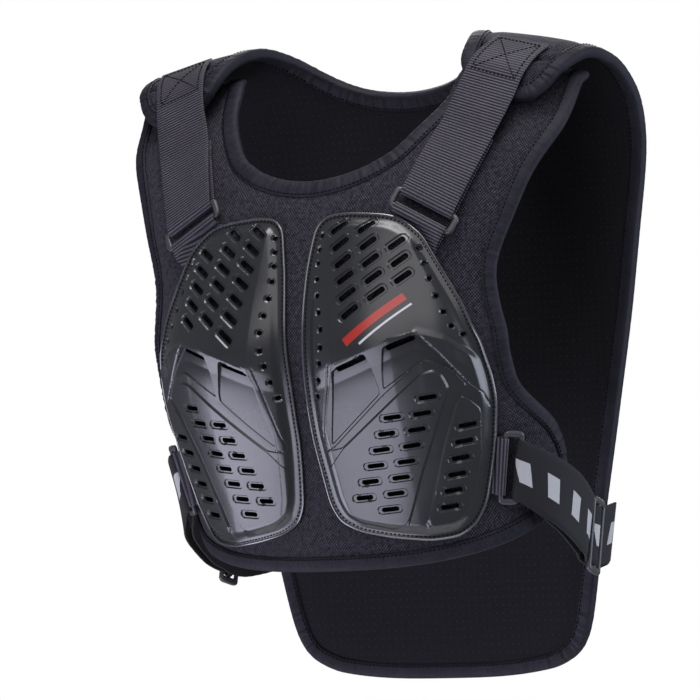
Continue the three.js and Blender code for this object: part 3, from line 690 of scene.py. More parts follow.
def make_mesh(name, points, faces, uv, materials, sharp=35.0, face_materials=None):
    """Mesh object of a closed surface, turned to face outwards, with pattern places in metres as UVs."""
    groups = outward(points, faces)
    corners = np.concatenate([group.ravel() for group in groups])
    counts = np.concatenate([np.full(len(group), group.shape[1]) for group in groups])
    starts = np.concatenate([[0], np.cumsum(counts)[:-1]])
    mesh = bpy.data.meshes.new(name)
    mesh.vertices.add(len(points))
    mesh.vertices.foreach_set("co", np.ascontiguousarray(points, np.float32).ravel())
    mesh.loops.add(len(corners))
    mesh.loops.foreach_set("vertex_index", corners.astype(np.int32))
    mesh.polygons.add(len(counts))
    mesh.polygons.foreach_set("loop_start", starts.astype(np.int32))
    for material in materials:
        mesh.materials.append(material)
    if face_materials is not None:
        mesh.polygons.foreach_set("material_index", np.asarray(face_materials, np.int32))
    mesh.update(calc_edges=True)
    layer = mesh.uv_layers.new(name="pattern")
    layer.data.foreach_set("uv", np.ascontiguousarray(uv[corners] * MM, np.float32).ravel())
    mesh.polygons.foreach_set("use_smooth", np.ones(len(counts), bool))
    mesh.set_sharp_from_angle(angle=np.radians(sharp))
    mesh.validate()
    piece = bpy.data.objects.new(name, mesh)
    bpy.context.scene.collection.objects.link(piece)
    return piece


def seat(piece, slot, *nodes):
    """Puts a piece on the frame: its body and the solids that it stands for; its material slot is not used.
    """
    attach(piece, "root")
    if nodes:
        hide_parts(*nodes)
    return piece


def mirrored(points, side):
    """Points of the left side, or their mirror for the right side."""
    return points * np.array([SIDES[side], 1.0, 1.0])


# Material nodes
class Nodes:
    """Short way to add and link shader nodes."""

    def __init__(self, tree):
        self.tree = tree

    def add(self, kind, values=None, **settings):
        """New node with its settings and inputs; an input given as a socket is linked to it."""
        node = self.tree.nodes.new("ShaderNode" + kind)
        for name, value in settings.items():
            setattr(node, name, value)
        for name, value in (values or {}).items():
            if isinstance(value, bpy.types.NodeSocket):
                self.tree.links.new(value, node.inputs[name])
            else:
                node.inputs[name].default_value = value
        return node

    def math(self, operation, a, b=0.0, clamp=False):
        """Result of one operation on two values."""
        return self.add("Math", {0: a, 1: b}, operation=operation, use_clamp=clamp).outputs[0]


def new_group(name, inputs, outputs):
    """Empty shader node group with named sockets, its node helper and its end nodes."""
    tree = bpy.data.node_groups.new(name, "ShaderNodeTree")
    for socket, kind, default in inputs:
        made = tree.interface.new_socket(name=socket, in_out="INPUT", socket_type="NodeSocket" + kind)
        if default is not None:
            made.default_value = default
    for socket, kind in outputs:
        tree.interface.new_socket(name=socket, in_out="OUTPUT", socket_type="NodeSocket" + kind)
    nodes = Nodes(tree)
    start = tree.nodes.new("NodeGroupInput")
    end = tree.nodes.new("NodeGroupOutput")
    return tree, nodes, start.outputs, end.inputs


def diamond_group():
    """Diamond lattice: half the sum of two sine waves on the diagonals of the pattern, from 0 to 1."""
    tree, nodes, start, end = new_group(
        "diamond_lattice",
        [("Vector", "Vector", None), ("Pitch X", "Float", 0.0016), ("Pitch Y", "Float", 0.0016)],
        [("Height", "Float")],
    )
    place = nodes.add("SeparateXYZ", {"Vector": start["Vector"]}).outputs
    x = nodes.math("DIVIDE", nodes.math("MULTIPLY", place["X"], 2 * np.pi), start["Pitch X"])
    y = nodes.math("DIVIDE", nodes.math("MULTIPLY", place["Y"], 2 * np.pi), start["Pitch Y"])
    rising = nodes.math("SINE", nodes.math("ADD", x, y))
    falling = nodes.math("SINE", nodes.math("SUBTRACT", x, y))
    waves = nodes.math("MULTIPLY", nodes.math("ADD", rising, falling), 0.25)
    tree.links.new(nodes.math("ADD", waves, 0.5), end["Height"])
    return tree


def tint_group():
    """Uneven tint: broad and fine noise shift a colour's value and give a roughness that wanders."""
    tree, nodes, start, end = new_group(
        "uneven_tint",
        [
            ("Vector", "Vector", None),
            ("Color", "Color", (0.02, 0.02, 0.02, 1.0)),
            ("Broad", "Float", 25.0),
            ("Fine", "Float", 900.0),
            ("Amount", "Float", 0.3),
            ("Roughness", "Float", 0.6),
            ("Wander", "Float", 0.1),
        ],
        [("Color", "Color"), ("Roughness", "Float"), ("Grain", "Float")],
    )
    broad = nodes.add("TexNoise", {"Vector": start["Vector"], "Scale": start["Broad"], "Detail": 3.0})
    fine = nodes.add("TexNoise", {"Vector": start["Vector"], "Scale": start["Fine"], "Detail": 2.0})
    both = nodes.math("SUBTRACT", nodes.math("ADD", broad.outputs["Fac"], fine.outputs["Fac"]), 1.0)
    value = nodes.math("ADD", nodes.math("MULTIPLY", both, start["Amount"]), 1.0)
    shifted = nodes.add("HueSaturation", {"Color": start["Color"], "Value": value})
    drift = nodes.math("MULTIPLY", nodes.math("SUBTRACT", broad.outputs["Fac"], 0.5), start["Wander"])
    tree.links.new(shifted.outputs["Color"], end["Color"])
    tree.links.new(nodes.math("ADD", start["Roughness"], drift, clamp=True), end["Roughness"])
    tree.links.new(fine.outputs["Fac"], end["Grain"])
    return tree


def pin_dot_group():
    """Staggered round dots: a mask that is 1 within a radius of each point of a lattice."""
    tree, nodes, start, end = new_group(
        "pin_dots",
        [("Vector", "Vector", None), ("Scale", "Float", 160.0), ("Radius", "Float", 0.11)],
        [("Mask", "Float")],
    )
    values = {"Vector": start["Vector"], "Scale": start["Scale"], "Randomness": 0.0}
    dots = nodes.add("TexVoronoi", values, voronoi_dimensions="2D")
    gap = nodes.math("SUBTRACT", start["Radius"], dots.outputs["Distance"])
    tree.links.new(nodes.math("MULTIPLY", gap, DOT_EDGE, clamp=True), end["Mask"])
    return tree


def shared(nodes, name, build, values):
    """Outputs of a node group placed in a material, with the group built the first time it is used."""
    tree = bpy.data.node_groups.get(name) or build()
    return nodes.add("Group", values, node_tree=tree).outputs


def new_material(name, values, on_pattern=True):
    """Material with one Principled shader, its node helper, and coordinates: those of the piece's pattern,
    or its place in the object where a piece has no pattern."""
    material = bpy.data.materials.new(name)
    material.use_nodes = True
    nodes = Nodes(material.node_tree)
    shader = material.node_tree.nodes["Principled BSDF"]
    for socket, value in values.items():
        shader.inputs[socket].default_value = value
    if on_pattern:
        place = nodes.add("UVMap", uv_map="pattern").outputs["UV"]
    else:
        place = nodes.add("TexCoord").outputs["Object"]
    return material, nodes, shader, place


def bump(nodes, shader, height, strength, depth):
    """Relief on the shader's normal from a height of 0 to 1 and its depth in millimetres."""
    node = nodes.add("Bump", {"Strength": strength, "Distance": depth * MM, "Height": height})
    nodes.tree.links.new(node.outputs["Normal"], shader.inputs["Normal"])


def tinted(nodes, shader, place, colour, shade=1.0, **values):
    """Uneven tint of a colour at a shade, on a shader's colour and roughness; gives the tint's outputs."""
    values.update({"Vector": place, "Color": (*(shade * np.array(colour)), 1.0)})
    tint = shared(nodes, "uneven_tint", tint_group, values)
    nodes.tree.links.new(tint["Color"], shader.inputs["Base Color"])
    nodes.tree.links.new(tint["Roughness"], shader.inputs["Roughness"])
    return tint


def lattice_height(nodes, uv, across, along):
    """Height of the diamond lattice with the given pitches in millimetres."""
    values = {"Vector": uv, "Pitch X": across * MM, "Pitch Y": along * MM}
    return shared(nodes, "diamond_lattice", diamond_group, values)["Height"]


def overlaid(nodes, shader, mask, under, over):
    """One colour over another by a mask, put on the shader; gives the mixed colour."""
    mixed = nodes.add("MixRGB", {"Fac": mask, "Color1": under, "Color2": over}).outputs["Color"]
    nodes.tree.links.new(mixed, shader.inputs["Base Color"])
    return mixed


def knit_material(colour):
    """Spacer knit: small diamond eyelets painted near black as shade in their hollows, over a speckled yarn.
    """
    material, nodes, shader, uv = new_material("spacer_knit", MATT_CLOTH)
    lattice = lattice_height(nodes, uv, 2.4, 3.0)
    tint = tinted(nodes, shader, uv, colour, 1.25, Amount=2.8, Broad=230.0, Fine=420.0, Roughness=0.85)
    # Eyelets between the yarn take a near-black colour: painted shade in the hollows of the knit.
    yarn = nodes.math("MULTIPLY", nodes.math("SUBTRACT", lattice, 0.3), 2.6, clamp=True)
    overlaid(nodes, shader, yarn, EYELET_PAINTED_SHADE, tint["Color"])
    bump(nodes, shader, nodes.math("ADD", lattice, nodes.math("MULTIPLY", tint["Grain"], 0.5)), 0.55, 0.6)
    return material


def lining_material(colour):
    """Inner face of the panels: smooth knit darkened to a quarter of the knit colour as painted shade, with
    staggered pin holes painted pale as light seen through them.
    """
    material, nodes, shader, uv = new_material("shaded_pierced_lining", MATT_CLOTH)
    dots = shared(nodes, "pin_dots", pin_dot_group, {"Vector": uv, "Scale": 150.0, "Radius": 0.085})["Mask"]
    # A quarter of the knit colour: painted shade on the inner face.
    tint = tinted(nodes, shader, uv, colour, 0.25, Amount=0.8, Broad=230.0, Fine=500.0, Roughness=0.9)
    # Pale pin holes: painted light seen through them.
    overlaid(nodes, shader, dots, tint["Color"], PIN_HOLE_PAINTED_LIGHT)
    bump(nodes, shader, nodes.math("SUBTRACT", nodes.math("MULTIPLY", tint["Grain"], 0.4), dots), 0.5, 0.6)
    return material


def tape_material(colour):
    """Edge binding: fine smooth weave."""
    material, nodes, shader, uv = new_material("edge_binding", {"Specular IOR Level": 0.14})
    lattice = lattice_height(nodes, uv, 0.9, 1.2)
    tint = tinted(nodes, shader, uv, colour, 0.5, Amount=1.4, Broad=60.0, Fine=420.0, Roughness=0.6)
    bump(nodes, shader, nodes.math("ADD", lattice, tint["Grain"]), 0.3, 0.3)
    return material


def accent_mask(nodes, uv, across, along, length, width):
    """Straight-edged bar in the pattern plane: 1 inside half a length and half a width of its middle."""
    mapping = {
        "Vector": uv,
        "Location": (ACCENT["a"] * MM, ACCENT["s"] * MM, 0.0),
        "Rotation": (0.0, 0.0, np.radians(ACCENT["turn"])),
    }
    place = nodes.add("Mapping", mapping, vector_type="TEXTURE").outputs["Vector"]
    parts = nodes.add("SeparateXYZ", {"Vector": place}).outputs

    def gap(axis, middle, reach):
        """How far a place lies inside the bar along one axis."""
        away = nodes.math("ABSOLUTE", nodes.math("SUBTRACT", parts[axis], middle * MM))
        return nodes.math("SUBTRACT", reach * MM / 2, away)

    inside = nodes.math("MINIMUM", gap("X", along, length), gap("Y", across, width))
    return nodes.math("MULTIPLY", inside, PAINT_EDGE, clamp=True)


def rim_material(colour):
    """Rim bead of the plates: the same plastic with its colour raised 2.4 times as a painted highlight along
    the bead, and glossier.
    """
    material, nodes, shader, uv = new_material("highlight_painted_rim", {"Specular IOR Level": 1.0})
    # Plate colour raised 2.4 times: painted highlight on the rim bead.
    tint = tinted(nodes, shader, uv, colour, 2.4, Amount=0.9, Broad=60.0, Fine=700.0, Roughness=0.2)
    bump(nodes, shader, tint["Grain"], 0.05, 0.2)
    return material


def plate_material(name, colour, accent=None):
    """Moulded plastic: satin skin with a faint grain, and a plain painted bar and line where asked."""
    material, nodes, shader, uv = new_material(name, {"Specular IOR Level": 0.5})
    tint = tinted(
        nodes, shader, uv, colour, Amount=0.35, Broad=18.0, Fine=1500.0, Roughness=0.25, Wander=0.16
    )
    bump(nodes, shader, tint["Grain"], 0.06, 0.3)
    if accent:
        bar = accent_mask(nodes, uv, 0.0, 0.0, 58.0, 6.5)
        line = accent_mask(nodes, uv, 8.2, 5.0, 50.0, 1.8)
        painted = overlaid(nodes, shader, bar, tint["Color"], (*accent, 1.0))
        overlaid(nodes, shader, line, painted, LINE_PAINT)
    return material


def webbing_material(colour, pitch):
    """Webbing: crosswise ribs in the mesh, with tops at a raised colour and near-black grooves between them
    as painted light and shade, and a fine lengthwise weave.
    """
    values = {"Sheen Weight": 0.02, "Specular IOR Level": 0.25}
    material, nodes, shader, uv = new_material("ribbed_webbing", values)
    lattice = lattice_height(nodes, uv, 5.4, 1.1)
    # Colour raised 2.8 times on the rib tops, and near black in the grooves below: painted light and shade
    # across the ribs.
    tint = tinted(nodes, shader, uv, colour, 2.8, Amount=0.9, Fine=700.0, Roughness=0.6)
    along = nodes.add("SeparateXYZ", {"Vector": uv}).outputs["X"]
    wave = nodes.math("COSINE", nodes.math("MULTIPLY", along, 2 * np.pi / pitch))
    ridge = nodes.math("ADD", nodes.math("MULTIPLY", wave, 1.1), 0.4, clamp=True)
    overlaid(nodes, shader, ridge, RIB_GROOVE_PAINTED_SHADE, tint["Color"])
    bump(nodes, shader, nodes.math("ADD", lattice, tint["Grain"]), 0.4, 0.4)
    return material


def elastic_material(colour, dash):
    """Woven elastic: fine twill with a row of plain slanted dashes along its middle."""
    values = {"Sheen Weight": 0.03, "Specular IOR Level": 0.25}
    material, nodes, shader, uv = new_material("woven_elastic", values)
    lattice = lattice_height(nodes, uv, 1.2, 2.2)
    tint = tinted(nodes, shader, uv, colour, 0.25, Amount=0.9, Fine=600.0, Roughness=0.75)
    place = nodes.add("SeparateXYZ", {"Vector": uv}).outputs
    pitch = DASH["pitch"] * MM
    slant = nodes.math("ADD", place["X"], nodes.math("MULTIPLY", place["Y"], DASH["slant"]))
    turn = nodes.math("FRACT", nodes.math("DIVIDE", slant, pitch))
    step = nodes.math("ABSOLUTE", nodes.math("SUBTRACT", turn, 0.5))
    gap_u = nodes.math("MULTIPLY", nodes.math("SUBTRACT", DASH["share"] / 2, step), pitch)
    gap_v = nodes.math("SUBTRACT", DASH["width"] * MM / 2, nodes.math("ABSOLUTE", place["Y"]))
    mask = nodes.math("MULTIPLY", nodes.math("MINIMUM", gap_u, gap_v), WEAVE_EDGE, clamp=True)
    woven = nodes.math("MULTIPLY", mask, nodes.math("ADD", nodes.math("MULTIPLY", lattice, 0.5), 0.5))
    overlaid(nodes, shader, woven, tint["Color"], (*dash, 1.0))
    bump(nodes, shader, nodes.math("ADD", lattice, tint["Grain"]), 0.35, 0.4)
    return material


def moulding_material(colour):
    """Rings and sliders: dull moulded plastic with an uneven tint and roughness."""
    material, nodes, shader, place = new_material("dull_moulding", {"Specular IOR Level": 0.5}, False)
    tint = tinted(
        nodes, shader, place, colour, Amount=0.5, Broad=90.0, Fine=1500.0, Roughness=0.42, Wander=0.25
    )
    bump(nodes, shader, tint["Grain"], 0.15, 0.3)
    return material


def thread_material(colour):
    """Sewing thread: twisted strands read as fine noise."""
    material, nodes, shader, place = new_material("sewing_thread", {"Specular IOR Level": 0.06}, False)
    tint = tinted(nodes, shader, place, colour, Amount=0.8, Broad=120.0, Fine=2500.0, Roughness=0.6)
    bump(nodes, shader, tint["Grain"], 0.3, 0.2)
    return material


def look(name, sizes, colours):
    """Material by name, made the first time it is asked for."""
    makers = {
        "spacer_knit": (knit_material, colours.knit),
        "shaded_pierced_lining": (lining_material, colours.knit),
        "edge_binding": (tape_material, colours.tape),
        "marked_plate": (plate_material, "marked_plate", colours.plate, colours.accent),
        "plain_plate": (plate_material, "plain_plate", colours.plate),
        "highlight_painted_rim": (rim_material, colours.plate),
        "ribbed_webbing": (webbing_material, colours.webbing, sizes.rib_pitch),
        "woven_elastic": (elastic_material, colours.elastic, colours.dash),
        "dull_moulding": (moulding_material, colours.moulding),
        "sewing_thread": (thread_material, colours.thread),
    }
    build, *values = makers[name]
    return bpy.data.materials.get(name) or build(*values)


# Panels
def panel_outline(edges):
    """Closed outline of a panel: hem, arm edge, tip and neck edge of one half, then their mirror."""
    rows = np.arange(len(edges["arm_a"]))
    fine = np.linspace(0, rows[-1], 8 * rows[-1] + 1)
    arm = np.stack([cubic(rows, edges[name], fine)[0] for name in ("arm_a", "arm_s")], -1)[::-1]
    neck = neck_line(edges, np.linspace(0, THROAT, 8 * THROAT + 1))
    t = np.linspace(0.0, 1.0, 40)
    drop = edges["arm_s"][-1] - edges["neck_s"][-1]
    hem = np.stack([edges["arm_a"][-1] * t, edges["neck_s"][-1] + drop * t**3], -1)
    half = np.concatenate([hem[:-1], arm, neck])
    other = half[::-1] * (-1.0, 1.0)
    return rounded_loop(np.concatenate([half, other[1:-1]]), OUTLINE_STEP, OUTLINE_ROUNDING)


def neck_line(edges, rows):
    """Neck edge at any row down to the throat, square to the middle line there."""
    knots = np.arange(THROAT + 2)
    across = np.append(edges["neck_a"][: THROAT + 1], -edges["neck_a"][THROAT - 1])
    down = np.append(edges["neck_s"][: THROAT + 1], edges["neck_s"][THROAT - 1])
    return np.stack([np.maximum(cubic(knots, across, rows)[0], 0.0), cubic(knots, down, rows)[0]], -1)


def inward(line, side):
    """Directions square to a line of points, to one side of it."""
    along = unit(np.gradient(line, axis=0))
    return side * np.stack([along[:, 1], -along[:, 0]], -1)


def panel_half(edges, rows_per_step, columns):
    """Grid of pattern places on one half of a panel, from neck edge or middle line to arm edge."""
    last = len(edges["arm_a"]) - 1
    rows = np.linspace(0.5, last - 0.5, (last - 1) * rows_per_step + 1)
    arm = np.stack([cubic(np.arange(last + 1), edges[name], rows)[0] for name in ("arm_a", "arm_s")], -1)
    arm = arm + EDGE_TUCK * inward(arm, -1)
    neck = neck_line(edges, np.minimum(rows, THROAT))
    above = rows < THROAT
    neck[above] += EDGE_TUCK * inward(neck[above], 1)
    knots = np.arange(THROAT, last + 1)
    middle_s = edges["neck_s"][THROAT:].copy()
    middle_s[0] += EDGE_TUCK
    neck[~above, 0] = 0.0
    neck[~above, 1] = cubic(knots, middle_s, rows[~above])[0]
    f = np.linspace(0.0, 1.0, columns)
    bow = f ** (1.0 + 2.0 * smooth_step((rows - THROAT) / 2.0))[:, None]
    across = neck[:, :1] + (arm[:, :1] - neck[:, :1]) * f
    down = neck[:, 1:] + (arm[:, 1:] - neck[:, 1:]) * bow
    return np.stack([across, down], -1)


def edge_distance(points, outline):
    """Distance from pattern places to the nearest point of an outline, in blocks of places."""
    blocks = np.array_split(points, max(len(points) // 3000, 1))
    return np.concatenate([
        np.sqrt(((block[:, None, :] - outline[None, :, :]) ** 2).sum(-1).min(1)) for block in blocks
    ])


def panel_sheet(edges, rows_per_step, columns):
    """Pattern places and quads of a whole panel, its halves welded along the middle line, and the place
    that each point of the two halves' grids became."""
    half = panel_half(edges, rows_per_step, columns)
    rows = len(half)
    flat = half.reshape(-1, 2)
    places = np.concatenate([flat, flat * (-1.0, 1.0)])
    faces = grid_faces(rows, columns)
    faces = np.concatenate([faces, faces[:, ::-1] + rows * columns])
    kept, index = np.unique(np.round(places, 4) + 0.0, axis=0, return_inverse=True)
    index = index.reshape(-1)
    return kept, index[faces], index.reshape(2, rows, columns)


def left_half(places):
    """Pattern places with those of the right half mirrored onto the left."""
    return np.stack([np.abs(places[:, 0]), places[:, 1]], -1)


def panel_heights(places, outline, thickness, seed, creases):
    """Heights of both faces: thinned under the binding, pulled in at its seam, crowned and uneven inside,
    with creases drawn down along lines of either half."""
    d = edge_distance(places, outline)
    inside = smooth_step((d - PAD_RISE_START) / PAD_RISE_WIDTH)
    seam = np.exp(-(((d - SEAM_INSET) / SEAM_WIDTH) ** 2))
    pulled = BORDER_PULL * (1.0 - inside) + SEAM_PULL * seam
    waves = ripple(places @ (0.92, 0.4), (61.0, 37.0), seed)
    waves = waves * ripple(places @ (-0.35, 0.94), (83.0, 47.0), seed + 1)
    hollows = ripple(places @ (0.6, 0.8), (71.0, 45.0), seed + 2)
    outer = thickness - pulled + inside * (0.15 + 0.35 * waves)
    inner = pulled - inside * (0.2 + 0.5 * hollows)
    free = smooth_step((d - CREASE_START) / CREASE_FADE)
    for line in creases:
        away = line_distance(left_half(places), line)
        outer -= CREASE_DEPTH * np.exp(-((away / CREASE_WIDTH) ** 2)) * free
    return outer, inner


def swollen(points, faces, held):
    """Points of a closed slab after a short cloth run: air pressed in, no gravity, held points kept."""
    mesh = bpy.data.meshes.new("swelling")
    mesh.from_pydata(points.tolist(), [], sum((group.tolist() for group in outward(points, faces)), []))
    piece = bpy.data.objects.new("swelling", mesh)
    scene = bpy.context.scene
    scene.collection.objects.link(piece)
    piece.vertex_groups.new(name="held").add(np.flatnonzero(held).tolist(), 1.0, "REPLACE")
    settings = piece.modifiers.new("swelling", "CLOTH").settings
    settings.vertex_group_mass = "held"
    settings.use_pressure = True
    settings.uniform_pressure_force = SWELL_PRESSURE
    settings.effector_weights.gravity = 0.0
    for number in range(1, SWELL_FRAMES + 1):
        scene.frame_set(number)
    moved = np.empty(3 * len(points))
    piece.evaluated_get(bpy.context.evaluated_depsgraph_get()).data.vertices.foreach_get("co", moved)
    bpy.data.objects.remove(piece)
    bpy.data.meshes.remove(mesh)
    scene.frame_set(1)
    return moved.reshape(-1, 3)


def enlarged(grid, rows, columns):
    """Coarse grids read on finer ones by straight lines along rows and columns, then averaged."""

    def stretch(values, count):
        """Last axis read at count even places."""
        at = np.linspace(0.0, values.shape[-1] - 1.0, count)
        low = np.minimum(at.astype(int), values.shape[-1] - 2)
        return values[..., low] * (1.0 - at + low) + values[..., low + 1] * (at - low)

    fine = stretch(stretch(grid, columns).swapaxes(-1, -2), rows).swapaxes(-1, -2)
    down, across = SWELL_BLUR
    return np.stack([average(average(half, down, False).T, across, False).T for half in fine])


def panel_swell(form, edges, outline, heights):
    """Heights that a cloth run adds to both faces of a panel, one grid for each half: its padding pressed
    out between the held borders, read along the direction out of the body and capped."""
    places, faces, index = panel_sheet(edges, *SWELL_GRID)
    a, s = places.T
    points = np.concatenate([form.at(a, s, height) for height in heights(places)])
    held = np.tile(edge_distance(places, outline) < SWELL_BORDER, 2)
    moved = swollen(points, slab(faces, len(places)), held)
    rise = np.sum((moved - points) * np.tile(form.up(a, s, 0.0), (2, 1)), -1) / MM
    return np.clip(rise, -SWELL_CAP, SWELL_CAP).reshape(2, -1)[:, index]


def build_panel(name, node, form, edges, thickness, materials, seed, ceiling, creases=()):
    """Padded panel: a closed slab between its outer and inner height over the whole pattern, swollen by a
    cloth run and kept below what lies on it."""
    outline = panel_outline(edges)
    places, faces, index = panel_sheet(edges, *PANEL_GRID)

    def heights(at):
        """Both heights of this panel at pattern places."""
        return panel_heights(at, outline, thickness, seed, creases)

    outer, inner = heights(places)
    for height, rise in zip((outer, inner), panel_swell(form, edges, outline, heights)):
        height[index.reshape(-1)] += enlarged(rise, *index.shape[1:]).reshape(-1)
    outer = np.minimum(outer, ceiling(places))
    a, s = places.T
    points = np.concatenate([form.at(a, s, outer), form.at(a, s, inner)])
    groups = slab(faces, len(places))
    lined = np.repeat([0, 1, 0], [len(group) for group in groups])
    uv = np.concatenate([places, places])
    piece = make_mesh(name, points, groups, uv, materials, sharp=60.0, face_materials=lined)
    seat(piece, "mesh_knit", node)
    return piece


# Edge binding
def binding_profile(thickness, width, fold):
    """Section of a folded binding as (inset, height, gather): up one face, round the edge, down the other."""
    outside = [
        (width + 0.3, -0.7, 0.0),
        (width + 0.1, 0.1, 0.4),
        (0.82 * width, 0.5, 1.0),
        (0.55 * width, 0.62, 1.0),
        (0.3 * width, 0.6, 1.0),
        (0.08 * width, 0.3, 0.8),
        (-0.05 * width, -0.5, 0.6),
        (-0.12 * width, -1.6, 0.4),
    ]
    inside = [(0.08 * width, -1.6 - fold), (0.25 * width, 0.5 - fold), (width - 0.4, 0.4 - fold)]
    top = [(inset, thickness + rise, gather) for inset, rise, gather in outside]
    bottom = [(inset, -rise, -gather) for inset, rise, gather in outside[::-1]]
    under = [(inset, -rise, 0.0) for inset, rise in inside[::-1]]
    over = [(inset, thickness + rise, 0.0) for inset, rise in inside]
    return np.array(top + bottom + under + over)


def outline_inward(outline):
    """Directions into a closed outline, square to the line between each point's neighbours."""
    along = np.roll(outline, -1, 0) - np.roll(outline, 1, 0)
    square = unit(np.stack([along[:, 1], -along[:, 0]], -1))
    area = np.sum(outline[:, 0] * np.roll(outline[:, 1], -1) - outline[:, 1] * np.roll(outline[:, 0], -1))
    return square if area < 0.0 else -square


def gathers(outline, seed):
    """Height of the binding's small gathers along its length, stronger where the edge curves."""
    lengths = OUTLINE_STEP * np.arange(len(outline))
    along = unit(np.roll(outline, -1, 0) - outline)
    turn = np.abs(np.cross(np.roll(along, 1, 0), along)) / OUTLINE_STEP
    bend = average(turn[:, None], BINDING_BLUR, True)[:, 0]
    strength = GATHER_FLAT + GATHER_BENT * smooth_step(bend / GATHER_BEND)
    return strength * ripple(lengths, GATHER_WAVES, seed) * GATHER_GAIN


def neck_share(outline, edges):
    """1 along the neckline and 0 elsewhere, averaged, for the wider binding there."""
    neck = neck_line(edges, np.linspace(1.0, THROAT, 200))
    neck = np.concatenate([neck, neck * (-1.0, 1.0)])
    near = (edge_distance(outline, neck) < NECK_NEAR).astype(float)
    return average(near[:, None], BINDING_BLUR, True)[:, 0]


def build_binding(name, node, form, edges, thickness, sizes, material, seed):
    """Binding: its folded section carried round the panel's outline."""
    outline = panel_outline(edges)
    square = outline_inward(outline)
    profile = binding_profile(thickness, sizes.tape_width / MM, sizes.tape_thickness / MM)
    swell = gathers(outline, seed)
    wider = 1.0 + NECK_BINDING * neck_share(outline, edges)[:, None]
    creep = GATHER_CREEP * swell[:, None] * (profile[None, :, 0] > GATHER_INSET)
    inset = profile[None, :, 0] * wider - creep
    places = outline[:, None, :] + inset[..., None] * square[:, None, :]
    heights = profile[None, :, 1] + swell[:, None] * profile[None, :, 2]
    points = form.at(places[..., 0], places[..., 1], heights).reshape(-1, 3)
    lengths = OUTLINE_STEP * np.arange(len(outline))
    round_it = path_length(profile[:, :2])
    uv = np.stack(np.broadcast_arrays(lengths[:, None], round_it[None, :]), -1).reshape(-1, 2)
    faces = grid_faces(len(outline), len(profile), True, True)
    return seat(make_mesh(name, points, [faces], uv, [material], sharp=70.0), "edge_tape", node)


# Stitching
def stitch_mesh(lines, pitch, length, radius):
    """Points and faces of short stitches along lines of (points, up): each a five-sided lozenge that dips
    at both ends."""
    share, rise, girth = (column[:, None] for column in STITCH_RINGS.values())
    rings = len(share)
    turns = 2 * np.pi * np.arange(STITCH_SIDES) / STITCH_SIDES
    w = girth * radius * np.cos(turns)
    k = rise * radius + girth * radius * np.sin(turns)
    t = np.broadcast_to(share * length, w.shape)
    t, w, k = (values.reshape(-1, 1) for values in (t, w, k))
    points = []
    for line, up in lines:
        lengths = path_length(line)
        count = max(int(lengths[-1] / pitch), 1)
        at = (np.arange(count) + 0.5) * lengths[-1] / count
        centre, normal = along_line(lengths, line, at), along_line(lengths, up, at)
        along = unit(along_line(lengths, line, at + radius) - along_line(lengths, line, at - radius))
        normal = unit(normal - np.sum(normal * along, -1, keepdims=True) * along)
        side = np.cross(normal, along)
        points.append(centre[:, None] + along[:, None] * t + side[:, None] * w + normal[:, None] * k)
    points = np.concatenate(points)
    start = rings * STITCH_SIDES * np.arange(len(points))[:, None, None]
    tube = (grid_faces(rings, STITCH_SIDES, False, True) + start).reshape(-1, 4)
    caps = (end_caps(rings, STITCH_SIDES) + start).reshape(-1, STITCH_SIDES)
    return points.reshape(-1, 3), [tube, caps]


def build_stitches(name, lines, sizes, material, slot):
    """One piece of thread for all the stitch lines of a panel, plate or strap."""
    points, faces = stitch_mesh(lines, sizes.stitch_pitch, STITCH_LENGTH * MM, STITCH_RADIUS * MM)
    uv = np.zeros((len(points), 2))
    return seat(make_mesh(name, points, faces, uv, [material], sharp=80.0), slot)


def outline_line(form, outline, inset, height):
    """Line of points at an inset and height round an outline, with directions away from the panel: into the
    body on its inner face, at heights under 1, and out of the body elsewhere."""
    places = outline + np.reshape(inset, (-1, 1)) * outline_inward(outline)
    closed = np.concatenate([places, places[:1]])
    a, s = closed.T
    side = -1.0 if height < 1.0 else 1.0
    return form.at(a, s, height), side * form.up(a, s, height)


# Chest plates
def plate_outline():
    """Closed outline of a plate on the front panel's pattern."""
    return rounded_loop(PLATE_OUTLINE, PLATE_STEP, PLATE_ROUNDING)


def plate_slots(side):
    """Every vent of a plate as (a, s, through shape, pocket shape)."""
    start = FIELD_START
    for row, count in enumerate(FIELD_COUNTS[side]):
        for k in range(count):
            a = start["a"] + start["step_a"] * row + start["pitch"] * k
            yield a, start["s"] + start["step_s"] * row, FIELD_SLOT, FIELD_POCKET
    for count, a, s, step_a, step_s in zip(*LOW_BANKS.values()):
        for k in range(int(count)):
            yield a + step_a * k, s + step_s * k, LOW_SLOT, LOW_POCKET
    for holes in (INNER_HOLES, OUTER_HOLES):
        for a, s in zip(holes["a"], holes["s"]):
            yield a, s, HOLE, HOLE_POCKET
    for a, s, shape in SLITS:
        yield a, s, shape, None


def nearest_slot(points, side, part):
    """Signed distance to the nearest through slot (part 2) or pocket (part 3) of a plate."""
    shapes = [slot for slot in plate_slots(side) if slot[part]]
    return np.min([slot_distance(points, slot[0], slot[1], slot[part]) for slot in shapes], axis=0)


def plate_regions():
    """Rounded outlines of the moulded windows, bands and fields."""
    loops = {"inner": INNER_WINDOW, "outer": OUTER_WINDOW, "band": BAND, "low": LOW_FIELD, "side": SIDE_FIELD}
    return {name: rounded_loop(corners, REGION_STEP, REGION_ROUNDING) for name, corners in loops.items()}


